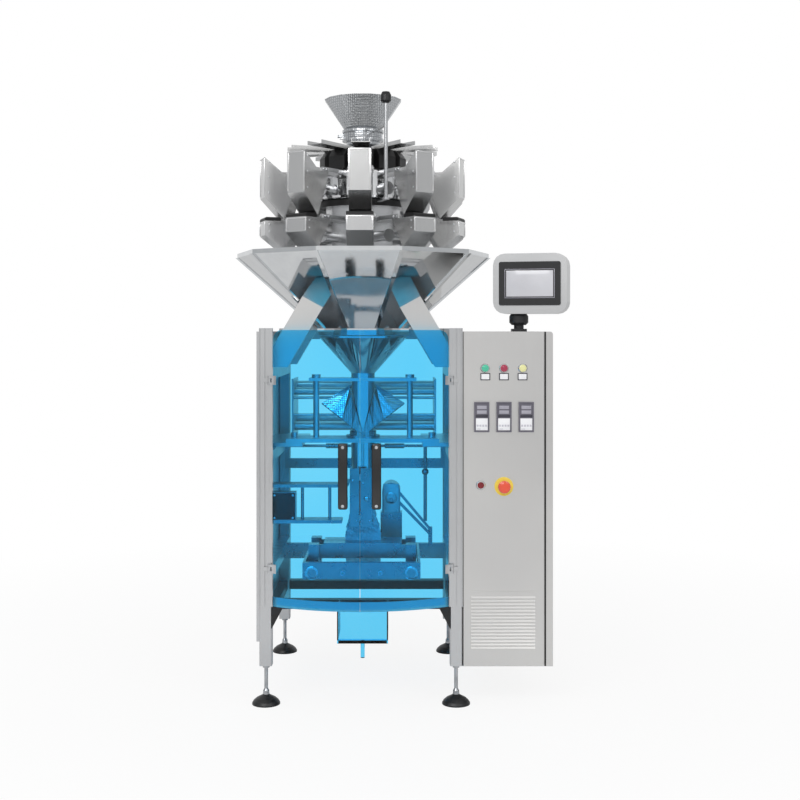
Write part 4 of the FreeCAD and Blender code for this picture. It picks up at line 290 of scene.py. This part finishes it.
# %% Lamp lenses
low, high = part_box("pilot_lenses")
lens_plastic, tree, surface = material("acrylic_lens_moulded", Roughness=0.18, Transmission_Weight=0.15,
                                       Coat_Weight=0.5, Coat_Roughness=0.05)
place = add(tree, "ShaderNodeTexCoord").outputs["Object"]
parted = add(tree, "ShaderNodeSeparateXYZ", _0=place)
across = span(tree, parted.outputs["X"], low.x, high.x, 0.0, 1.0)
colour = ramp(tree, across, [(0.0, linear("#4fc9a4")), (1 / 3, linear("#b03352")),
                             (2 / 3, linear("#f3f1ae"))])
colour.node.color_ramp.interpolation = "CONSTANT"
tree.links.new(colour, surface.inputs["Base Color"])
wear(lens_plastic, "pilot_lenses")
print("lamps span", round(high.x - low.x, 4), "m")

# %% [markdown]
# Some nodes hold two finishes. The foot pads are black nylon under a bright threaded rod, the low frame is
# coated black, and the top of the column just under the drum is painted black as painted shade in the gap
# there: there the height tells which finish is meant. On the doors it is the distance from the machine's
# middle plane: the grips near it are black, the hinges far from it are steel.

# %% Finishes in two zones
def two_zones(name, level, lower, upper, metal_low, metal_high, rough_low, rough_high, sideways=False):
    made, tree, surface = material(name)
    place = add(tree, "ShaderNodeTexCoord").outputs["Object"]
    parted = add(tree, "ShaderNodeSeparateXYZ", _0=place)
    reading = parted.outputs["Z"]
    if sideways:
        offset = add(tree, "ShaderNodeMath", {"operation": "SUBTRACT"}, _0=parted.outputs["X"], _1=AXIS.x)
        reading = add(tree, "ShaderNodeMath", {"operation": "ABSOLUTE"}, _0=offset.outputs[0]).outputs[0]
    over = add(tree, "ShaderNodeMath", {"operation": "GREATER_THAN"}, _0=reading, _1=level)
    cloud = add(tree, "ShaderNodeTexNoise", Vector=place, Scale=30.0, Detail=3.0)
    tones = []
    for light, dark in (lower, upper):
        tones.append(ramp(tree, cloud.outputs[0], [(0.3, linear(dark)), (0.7, linear(light))]))
    mixed = add(tree, "ShaderNodeMix", {"data_type": "RGBA"}, _0=over.outputs[0], _6=tones[0], _7=tones[1])
    tree.links.new(mixed.outputs[2], surface.inputs["Base Color"])
    tree.links.new(span(tree, over.outputs[0], 0, 1, metal_low, metal_high), surface.inputs["Metallic"])
    tree.links.new(span(tree, over.outputs[0], 0, 1, rough_low, rough_high), surface.inputs["Roughness"])
    return made


foot_finish = two_zones("nylon_pad_and_zinced_rod", 32 * MM, ("#1c1e21", "#101113"), ("#c3c5c8", "#9a9da1"),
                          0, 1, 0.4, 0.28)
rail_finish = two_zones("tube_coated_black_below", 320 * MM, ("#16181a", "#0c0d0e"), ("#d4d5d6", "#b0b2b5"),
                          0, 1, 0.4, 0.3)
rod_finish = two_zones("steel_rod_and_black_knob", 1.921, ("#c3c4c6", "#b3b5b7"), ("#17181a", "#0d0e10"),
                       1, 0, 0.24, 0.34)
# Painted shade: the column is black from 20 mm below the drum's foot upward, where the gap under the drum is
# in shade.
drum_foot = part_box("weigher_drum")[0].z
column_finish = two_zones("stainless_column_and_painted_gap_shade", drum_foot - 20 * MM, ("#d9dadb", "#cfd0d2"),
                          ("#131415", "#0b0b0c"), 1, 0, 0.26, 0.45)
grip_finish = two_zones("nylon_grip_and_steel_hinge", 0.2, ("#141517", "#0b0c0d"), ("#c6c8ca", "#b2b4b7"),
                        0, 1, 0.3, 0.28, sideways=True)
wear(column_finish, "weigher_column")
wear(grip_finish, "left_door_handle", "right_door_handle")
wear(foot_finish, "levelling_feet")
wear(rail_finish, "frame_rails")
wear(rod_finish, "funnel_rod")

# %% Which node wears which finish
wear(frame_steel, "frame_posts", "frame_cladding", "hopper_brackets")
wear(satin_upright, "cabinet_body", "cabinet_panel", "weigher_legs")
wear(satin_level, "hmi_box", "sill_tray")
wear(satin_fine, "feed_hoppers", "weigh_hoppers", "feeder_pans")
wear(mirror_sheet, "collecting_chute")
wear(mirror_tube, "weigher_drum", "forming_tube")
wear(dimpled, "infeed_funnel", "forming_collar")
wear(machined_steel, "jaw_front", "jaw_rear", "jaw_drive")
wear(milled_plate, "table_plate", "film_rollers")
wear(black_rubber, "rubber_boots")
wear(black_coat, "hmi_pedestal")
wear(grey_case, "controllers")
wear(bezel_plate, "control_bezels")
wear(yellow_ring, "estop_ring")
wear(red_head, "estop_head")
wear(dark_cap, "start_button")
wear(screen_frame, "hmi_screen")
wear(guard_sheet, "left_guard_door", "right_guard_door", "discharge_guard")
gates = [name for name in nodes if "_gate_" in name]
wear(satin_fine, *gates)
print(len(gates), "gates dressed")

# %% [markdown]
# The engineering model stops at the pieces that carry load. The small things that the eye expects are
# modelled here one by one: a block or a disc is added at its size and place, then shaped in edit mode. Three
# short helpers keep that in one place. All of them leave the piece at the origin with its place in its mesh,
# as the engineering nodes have it.

# %% Modelling helpers
def alone(*chosen):
    """Select just these pieces; the first becomes the active one."""
    bpy.ops.object.select_all(action="DESELECT")
    for item in chosen:
        item.select_set(True)
    if chosen:
        bpy.context.view_layer.objects.active = chosen[0]


def slab(low, high, rounding, segments=2):
    """A plate or block between two corners, with all its edges rounded."""
    low, high = Vector(low), Vector(high)
    alone()
    bpy.ops.mesh.primitive_cube_add(size=1, location=(low + high) / 2)
    piece = bpy.context.active_object
    piece.scale = high - low
    bpy.ops.object.transform_apply(location=True, rotation=False, scale=True)
    bpy.ops.object.mode_set(mode="EDIT")
    bpy.ops.mesh.select_all(action="SELECT")
    bpy.ops.mesh.bevel(offset=rounding, segments=segments, affect="EDGES")
    bpy.ops.object.mode_set(mode="OBJECT")
    return piece


def turned(place, along, rings, sides=32):
    """A round part drawn out along its axis, ring by ring; each ring is (radius, height)."""
    alone()
    bpy.ops.mesh.primitive_circle_add(vertices=sides, radius=rings[0][0], fill_type="NGON",
                                      location=(0, 0, 0))
    piece = bpy.context.active_object
    bpy.ops.object.mode_set(mode="EDIT")
    bpy.ops.mesh.select_all(action="SELECT")
    for (radius, height), (next_radius, next_height) in zip(rings, rings[1:]):
        bpy.ops.mesh.extrude_region_move(TRANSFORM_OT_translate={"value": (0, 0, next_height - height)})
        ratio = next_radius / radius
        bpy.ops.transform.resize(value=(ratio, ratio, 1), center_override=(0, 0, 0))
    bpy.ops.mesh.select_all(action="SELECT")
    bpy.ops.mesh.normals_make_consistent(inside=False)
    bpy.ops.object.mode_set(mode="OBJECT")
    piece.rotation_euler = Vector(along).to_track_quat("Z", "Y").to_euler()
    piece.location = place
    bpy.ops.object.transform_apply(location=True, rotation=True, scale=False)
    return piece


def joined(parts):
    """One piece from several."""
    if len(parts) > 1:
        alone(*parts)
        bpy.ops.object.join()
    return parts[0]


def copied(piece, moves):
    """The piece and a copy at each move, every copy with its own mesh."""
    parts = [piece]
    for move in moves:
        alone(piece)
        bpy.ops.object.duplicate()
        twin = bpy.context.active_object
        twin.location = move
        bpy.ops.object.transform_apply(location=True, rotation=False, scale=False)
        parts.append(twin)
    return joined(parts)


def swung(piece, pivot, angle):
    """Turn a piece about an upright line through the pivot."""
    pivot = Vector(pivot)
    turn = Matrix.Rotation(angle, 4, "Z")
    piece.matrix_world = Matrix.Translation(pivot) @ turn @ Matrix.Translation(-pivot)
    alone(piece)
    bpy.ops.object.transform_apply(location=True, rotation=True, scale=False)
    return piece


def all_round(piece, count):
    """Copies of a piece at equal angles round the machine's axis."""
    parts = [piece]
    for turn in range(1, count):
        alone(piece)
        bpy.ops.object.duplicate()
        parts.append(swung(bpy.context.active_object, AXIS, turn * 2 * math.pi / count))
    return joined(parts)


def keep(piece, name, finish, body="machine", angle=35):
    """Name a finished piece, dress it and let it ride on its body."""
    alone(piece)
    bpy.ops.object.shade_smooth_by_angle(angle=math.radians(angle))
    piece.name = name
    piece.data.name = name
    piece.data.materials.clear()
    piece.data.materials.append(finish)
    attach(piece, body)
    print(name, len(piece.data.polygons), "faces on", body)
    return piece


def at(x, y, z):
    """A place in millimetres from the machine's axis, in metres in the frame."""
    return Vector((AXIS.x + x * MM, AXIS.y + y * MM, z * MM))


# %% [markdown]
# The film: cast polypropylene a few hundredths of a millimetre thick, pulled down over the
# tube and pinched flat between the jaws. Loose film is never smooth. It gathers in sharp
# little facets, and those catch the light. A ring is drawn down in many steps, then each
# ring is pressed from round to flat and creased. It stands for the plain solid of the bag.

# %% Crumpled film
clear_film, tree, surface = material("polypropylene_film_cast", Transmission_Weight=0.1, IOR=1.3,
                                     Roughness=0.3, Coat_Weight=0.6, Coat_Roughness=0.06)
place = add(tree, "ShaderNodeTexCoord").outputs["Object"]
creases = add(tree, "ShaderNodeTexVoronoi", Vector=place, Scale=1 / (9 * MM), Randomness=1.0)
# Painted shade: the tone is white in the middle of each facet and greyer towards its creases.
colour = ramp(tree, creases.outputs["Distance"], [(0.1, linear("#ffffff")), (0.8, linear("#e2eaee"))])
tree.links.new(colour, surface.inputs["Base Color"])
bump = add(tree, "ShaderNodeBump", Strength=0.6, Distance=0.003, Height=creases.outputs["Distance"])
tree.links.new(bump.outputs[0], surface.inputs["Normal"])

FILM_TOP = 600 * MM
PINCH_TOP = 493 * MM
PINCH_LOW = 437 * MM
TUBE_FIT = 41.5 * MM
FLAT_HALF = 60 * MM
FLAT_DEPTH = 1.2 * MM
ROWS = 76
film_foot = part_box("film_bag")[0].z + 1 * MM
alone()
bpy.ops.mesh.primitive_circle_add(vertices=112, radius=TUBE_FIT, fill_type="NOTHING",
                                  location=(AXIS.x, AXIS.y, FILM_TOP))
film = bpy.context.active_object
bpy.ops.object.transform_apply(location=True, rotation=False, scale=False)
bpy.ops.object.mode_set(mode="EDIT")
bpy.ops.mesh.select_all(action="SELECT")
for _ in range(ROWS):
    bpy.ops.mesh.extrude_region_move(TRANSFORM_OT_translate={"value": (0, 0, -(FILM_TOP - film_foot) / ROWS)})
bpy.ops.object.mode_set(mode="OBJECT")
for vertex in film.data.vertices:
    height = vertex.co.z
    angle = math.atan2(vertex.co.y - AXIS.y, vertex.co.x - AXIS.x)
    flat = min(1.0, max(0.0, (FILM_TOP - height) / (FILM_TOP - PINCH_TOP)))
    flat = flat * flat * (3 - 2 * flat)
    half = TUBE_FIT + (FLAT_HALF - TUBE_FIT) * flat
    depth = TUBE_FIT + (FLAT_DEPTH - TUBE_FIT) * flat
    loose = 0.0
    if height > PINCH_TOP:
        loose = math.sin(math.pi * (height - PINCH_TOP) / (FILM_TOP - PINCH_TOP))
    elif height < PINCH_LOW:
        below = (PINCH_LOW - height) / (PINCH_LOW - film_foot)
        loose = 0.8 * min(1.0, below * 2)
        depth += 5 * MM * loose
        half -= 6 * MM * loose
    crease = noise.noise(Vector((angle * 3.0, height * 90, 0.5)))
    crease += 0.6 * noise.noise(Vector((angle * 8, height * 210, 4)))
    swell = crease * 7 * MM * loose
    vertex.co.x = AXIS.x + (half + swell) * math.cos(angle)
    vertex.co.y = AXIS.y + (depth + swell) * math.sin(angle)
alone(film)
wall = film.modifiers.new("film_wall", "SOLIDIFY")
wall.thickness = 0.3 * MM
wall.offset = 0
bpy.ops.object.modifier_apply(modifier="film_wall")
keep(film, "film_crumpled", clear_film, angle=25)
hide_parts("film_bag")

# %% [markdown]
# Three panel controllers. Each has a grey frame, two unlit displays, a dark band and a white
# lower field with a row of four soft keys. They are thin parts let into the frame, so each is
# a thin slab with a small round, modelled once and copied to the three places.

# %% Controller faces
case_low, case_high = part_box("controllers")
spread = (case_high.x - case_low.x - 48 * MM) / 2
first = case_low.x + 24 * MM
middle = (case_low.z + case_high.z) / 2
recess = case_low.y + 2 * MM


def face_part(x, z, width, height, rise, rounding=0.4):
    """A thin part on the first controller's face, at x and z from its middle."""
    low = (first + (x - width / 2) * MM, recess - rise * MM, middle + (z - height / 2) * MM)
    high = (first + (x + width / 2) * MM, recess, middle + (z + height / 2) * MM)
    return slab(low, high, rounding * MM)


others = [(spread, 0, 0), (2 * spread, 0, 0)]
displays = joined([face_part(0, 31, 31, 11, 0.9), face_part(0, 16, 31, 11, 0.9)])
keep(copied(displays, others), "controller_displays", lcd_face)
keep(copied(face_part(0, 3.5, 38, 8, 1.2), others), "controller_bands", dark_band)
keep(copied(face_part(0, -23, 38, 38, 1.2), others), "controller_fields", pale_key)
keys = [face_part(x, -27, 6.4, 6.4, 2.2, 1.0) for x in (-13.5, -4.5, 4.5, 13.5)]
keys.append(face_part(-10, -38, 12, 2.4, 1.8, 0.6))
keep(copied(joined(keys), others), "controller_keys", grey_key)

# %% [markdown]
# Under each pilot lamp sits a label holder: a dark plate with a white insert. The inserts are
# left bare.

# %% Lamp label holders
lamp_low, lamp_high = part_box("pilot_lenses")
lamp_gap = (lamp_high.x - lamp_low.x - 24 * MM) / 2
lamp_x = lamp_low.x + 12 * MM
plate_face = AXIS.y - 227 * MM
lamp_moves = [(lamp_gap, 0, 0), (2 * lamp_gap, 0, 0)]
holder = slab((lamp_x - 15.6 * MM, plate_face - 0.8 * MM, 1.0394),
              (lamp_x + 15.6 * MM, plate_face - 0.05 * MM, 1.0626), 0.3 * MM)
keep(copied(holder, lamp_moves), "lamp_label_holders", dark_band)
insert = slab((lamp_x - 12.6 * MM, plate_face - 1.5 * MM, 1.0424),
              (lamp_x + 12.6 * MM, plate_face - 0.7 * MM, 1.0596), 0.3 * MM)
keep(copied(insert, lamp_moves), "lamp_label_inserts", pale_key)

# %% [markdown]
# The cabinet door closes on a black rubber profile that shows as a thin dark line on both
# sides of the front sheet.

# %% Cabinet door seal
panel_low, panel_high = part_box("cabinet_panel")
seal_face = panel_low.y + 1.4 * MM
seal_right = slab((panel_high.x + 0.4 * MM, seal_face, panel_low.z + 1 * MM),
                  (panel_high.x + 5.6 * MM, panel_high.y - 10.2 * MM, panel_high.z - 1 * MM), 0.6 * MM)
seal_left = slab((panel_low.x - 2.8 * MM, seal_face, panel_low.z + 1 * MM),
                 (panel_low.x - 0.4 * MM, panel_high.y - 10.2 * MM, panel_high.z - 1 * MM), 0.5 * MM)
keep(joined([seal_right, seal_left]), "cabinet_door_seal", black_rubber)

# %% [markdown]
# The touch panel: a pale display in the black frame, with a thin bright line round it where the
# glass meets the frame. The case is swung 15 degrees about its pedestal, so the parts are modelled
# square to it first and then swung the same way.

# %% Touch panel display
post_low, post_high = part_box("hmi_pedestal")
swivel = Vector(((post_low.x + post_high.x) / 2, (post_low.y + post_high.y) / 2, 0))
SWING = math.radians(-15)
unswing = Matrix.Rotation(-SWING, 3, "Z")
square = [unswing @ (v.co - swivel) + swivel for v in nodes["hmi_screen"].data.vertices]
bezel_low = Vector([min(v[k] for v in square) for k in range(3)])
bezel_high = Vector([max(v[k] for v in square) for k in range(3)])
mid_x = (bezel_low.x + bezel_high.x) / 2
mid_z = (bezel_low.z + bezel_high.z) / 2
front = bezel_low.y
print("bezel", [round(v, 4) for v in bezel_high - bezel_low])
glass = slab((mid_x - 76 * MM, front + 0.7 * MM, mid_z - 42 * MM),
             (mid_x + 76 * MM, front + 1.6 * MM, mid_z + 42 * MM), 0.3 * MM)
keep(swung(glass, swivel, SWING), "touch_display", screen_face, "touch_panel")
edges = []
for side in (-1, 1):
    edges.append(slab((mid_x - 81 * MM, front - 0.4 * MM, mid_z + side * 46 * MM - 0.8 * MM),
                      (mid_x + 81 * MM, front + 0.1 * MM, mid_z + side * 46 * MM + 0.8 * MM), 0.15 * MM))
    edges.append(slab((mid_x + side * 80.2 * MM - 0.8 * MM, front - 0.4 * MM, mid_z - 46 * MM),
                      (mid_x + side * 80.2 * MM + 0.8 * MM, front + 0.1 * MM, mid_z + 46 * MM), 0.15 * MM))
keep(swung(joined(edges), swivel, SWING), "touch_display_line", lcd_face, "touch_panel")

# %% [markdown]
# Bolt heads. A cap screw is a low cylinder with a broken edge and a socket sunk in its face. A dome
# screw is lower and rounder. Both are drawn out ring by ring, which is how a lathe makes them.

# %% Screws
def cap_screw(place, along, radius):
    r = radius * MM
    return turned(place, along, [(r, 0), (r, r * 0.8), (r * 0.86, r), (r * 0.5, r), (r * 0.46, r * 0.45)], 20)


def dome_screw(place, along, radius):
    r = radius * MM
    return turned(place, along, [(r, 0), (r * 0.94, r * 0.25), (r * 0.7, r * 0.5), (r * 0.3, r * 0.62)], 16)


FRONT = (0, -1, 0)
gloss_black = moulded("nylon_black_polished", "#101113", "#08090a", 0.16, coat=0.5)
bright_screw = machined("steel_screw_zinc_plated", "#dcdee0", "#c8cacd", 0.22, 30.0)
for side, body in ((-1, "left_door"), (1, "right_door")):
    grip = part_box("left_door_handle" if side < 0 else "right_door_handle")[0]
    sleeve = slab((AXIS.x + (side * 52 - 15) * MM, grip.y - 1 * MM, 645 * MM),
                  (AXIS.x + (side * 52 + 15) * MM, grip.y + 15 * MM, 850 * MM), 7 * MM, 5)
    keep(sleeve, body + "_grip_sleeve", gloss_black, body)
    grip_x = AXIS.x + side * 52 * MM
    screws = [cap_screw((grip_x, grip.y - 0.6 * MM, z * MM), FRONT, 5.5) for z in (838, 657)]
    keep(joined(screws), body + "_grip_screws", bright_screw, body)

arm_bolts = []
for half, z in ((39.5, 1714.5), (46.5, 1563.5)):
    for side in (-1, 1):
        for reach in (240, 256):
            arm_bolts.append(dome_screw(at(side * half, -reach, z), (side, 0, 0), 4))
keep(all_round(joined(arm_bolts), 10), "hanger_bolts", bright_screw)

# %% [markdown]
# The outer sheet of every feed and weigh hopper has its side edges folded over into a narrow rim, which
# stiffens it. The rims get a near-white tone, a painted highlight along the edges. The strips are modelled on
# the front head and copied round.

# %% Hopper rims
rims = []
for half, low_z, top_z in ((35.5, 1640, 1764), (42.5, 1513, 1555)):
    for side in (-1, 1):
        outer, inner = side * half, side * (half - 5)
        rims.append(slab(at(min(outer, inner), -346.6, low_z), at(max(outer, inner), -345, top_z), 0.6 * MM))
    rims.append(slab(at(-half, -346.6, top_z - 3), at(half, -345, top_z), 0.6 * MM))
keep(all_round(joined(rims), 10), "hopper_rims", rim_steel_painted_highlight)

# %% [markdown]
# Each side plate is riveted along its folded edge. The rivets are low domes of a few dozen
# faces, modelled on the front head and copied round.

# %% Hopper rivets
rivets = []
for half, heights in ((35.5, (1750, 1700, 1650)), (42.5, (1545, 1522))):
    for side in (-1, 1):
        rivets += [dome_screw(at(side * half, -330, z), (side, 0, 0), 3.2) for z in heights]
keep(all_round(joined(rivets), 10), "hopper_rivets", bright_screw)

# %% [markdown]
# Behind the guards: rod ends and bolts on the front crossbar, bolts on the two film pull plates, the
# gear motor's face with its bearing cover, and a dark cover on the drive box.

# %% Mechanism details
rod_end = [(22 * MM, 0), (22 * MM, 5 * MM), (18 * MM, 7 * MM), (11 * MM, 7 * MM), (10 * MM, 3 * MM)]
bar = [turned(at(side * 161, -172, 413), FRONT, rod_end) for side in (-1, 1)]
bar += [cap_screw(at(side * 61, -172, 413), FRONT, 9) for side in (-1, 1)]
keep(joined(bar), "crossbar_rod_ends", bright_screw)
plate_bolts = ((-32, 700, 4), (-20, 566, 4), (2, 690, 4), (24, 566, 4), (13, 640, 9))
dots = [dome_screw(at(x, -72, z), FRONT, radius) for x, z, radius in plate_bolts]
keep(joined(dots), "pull_plate_bolts", bright_screw)
cover = [slab(at(66, 145, 560), at(122, 150, 662), 2 * MM, 3)]
bearing_cover = [(21 * MM, 0), (21 * MM, 5 * MM), (17 * MM, 7 * MM), (13 * MM, 7 * MM), (12 * MM, 4 * MM)]
cover.append(turned(at(94, 145, 612), FRONT, bearing_cover))
cover += [cap_screw(at(x, 145, z), FRONT, 4) for x in (73, 115) for z in (568, 654)]
keep(joined(cover), "gear_motor_face", milled_plate)
keep(slab(at(-283, -217, 592), at(-211, -214.1, 678), 1.2 * MM, 3), "drive_box_cover", black_coat)
box_screws = [cap_screw(at(x, -217, z), FRONT, 4) for x in (-276, -218) for z in (599, 671)]
keep(joined(box_screws), "drive_box_screws", bright_screw)

# %% [markdown]
# A studio: pale floor, white all round, one big soft lamp over the front, one from each side.
# Steel has no colour of its own and shows its surroundings, so the room is white with a grey
# band low down, and that gives the sheet metal its soft shading.

# %% Floor, world and lamps
bpy.ops.object.select_all(action="DESELECT")
bpy.ops.mesh.primitive_plane_add(size=40, location=(0, 0, 0))
floor = bpy.context.active_object
floor.name = "studio_floor"
pale, tree, surface = material("floor_pale_matt", Roughness=0.8)
surface.inputs["Base Color"].default_value = linear("#f2f2f2")
rays = add(tree, "ShaderNodeLightPath")
seen = add(tree, "ShaderNodeMath", {"operation": "MAXIMUM"}, _0=rays.outputs["Is Camera Ray"],
           _1=rays.outputs["Is Transmission Ray"])
ground = add(tree, "ShaderNodeTexCoord").outputs["Object"]
distance = add(tree, "ShaderNodeVectorMath", {"operation": "LENGTH"}, _0=ground)
share = span(tree, distance.outputs["Value"], 0.9, 3.0, 0.86, 1.0)
part = add(tree, "ShaderNodeMath", {"operation": "MULTIPLY"}, _0=seen.outputs[0], _1=share)
glow = add(tree, "ShaderNodeEmission", Color=(1, 1, 1, 1), Strength=1.0)
both = add(tree, "ShaderNodeMixShader", _0=part.outputs[0], _1=surface.outputs[0], _2=glow.outputs[0])
tree.links.new(both.outputs[0], tree.nodes["Material Output"].inputs["Surface"])
floor.data.materials.append(pale)

world = bpy.data.worlds.new("studio_white")
world.use_nodes = True
scene.world = world
tree = world.node_tree
sky = tree.nodes["Background"]
way = add(tree, "ShaderNodeTexCoord").outputs["Generated"]
parted = add(tree, "ShaderNodeSeparateXYZ", _0=way)
shade = ramp(tree, span(tree, parted.outputs["Z"], -1, 1, 0, 1),
             [(0.0, linear("#d2d2d2")), (0.44, linear("#a3a5a8")), (0.5, linear("#e4e5e6")),
              (0.6, linear("#f0f0f0")), (1.0, linear("#d2d2d2"))])
aside = add(tree, "ShaderNodeMath", {"operation": "ABSOLUTE"}, _0=parted.outputs["X"])
falloff = ramp(tree, aside.outputs[0], [(0.45, linear("#ffffff")), (0.95, linear("#d4d5d6"))])
dimmed = add(tree, "ShaderNodeMix", {"data_type": "RGBA", "blend_type": "MULTIPLY"},
             _0=1.0, _6=shade, _7=falloff)
shade = dimmed.outputs[2]
rays = add(tree, "ShaderNodeLightPath")
seen = add(tree, "ShaderNodeMath", {"operation": "MAXIMUM"}, _0=rays.outputs["Is Camera Ray"],
           _1=rays.outputs["Is Transmission Ray"])
mixed = add(tree, "ShaderNodeMix", {"data_type": "RGBA"}, _0=seen.outputs[0], _6=shade, _7=(1, 1, 1, 1))
tree.links.new(mixed.outputs[2], sky.inputs["Color"])
sky.inputs["Strength"].default_value = 1.0


def lamp(name, place, aim, size, power):
    data = bpy.data.lights.new(name, "AREA")
    data.shape = "RECTANGLE"
    data.size, data.size_y = size
    data.energy = power
    item = bpy.data.objects.new(name, data)
    item.location = place
    item.rotation_euler = (Vector(aim) - Vector(place)).to_track_quat("-Z", "Y").to_euler()
    scene.collection.objects.link(item)


lamp("soft_front", (-1.0, -3.6, 3.4), (0, 0, 1.0), (2.4, 1.6), 44)
lamp("soft_left", (-2.4, -2.8, 3.5), (0, 0, 1.1), (1.6, 1.2), 20)
lamp("soft_right", (2.4, -2.8, 3.5), (0, 0, 1.1), (1.6, 1.2), 20)
print("studio ready")
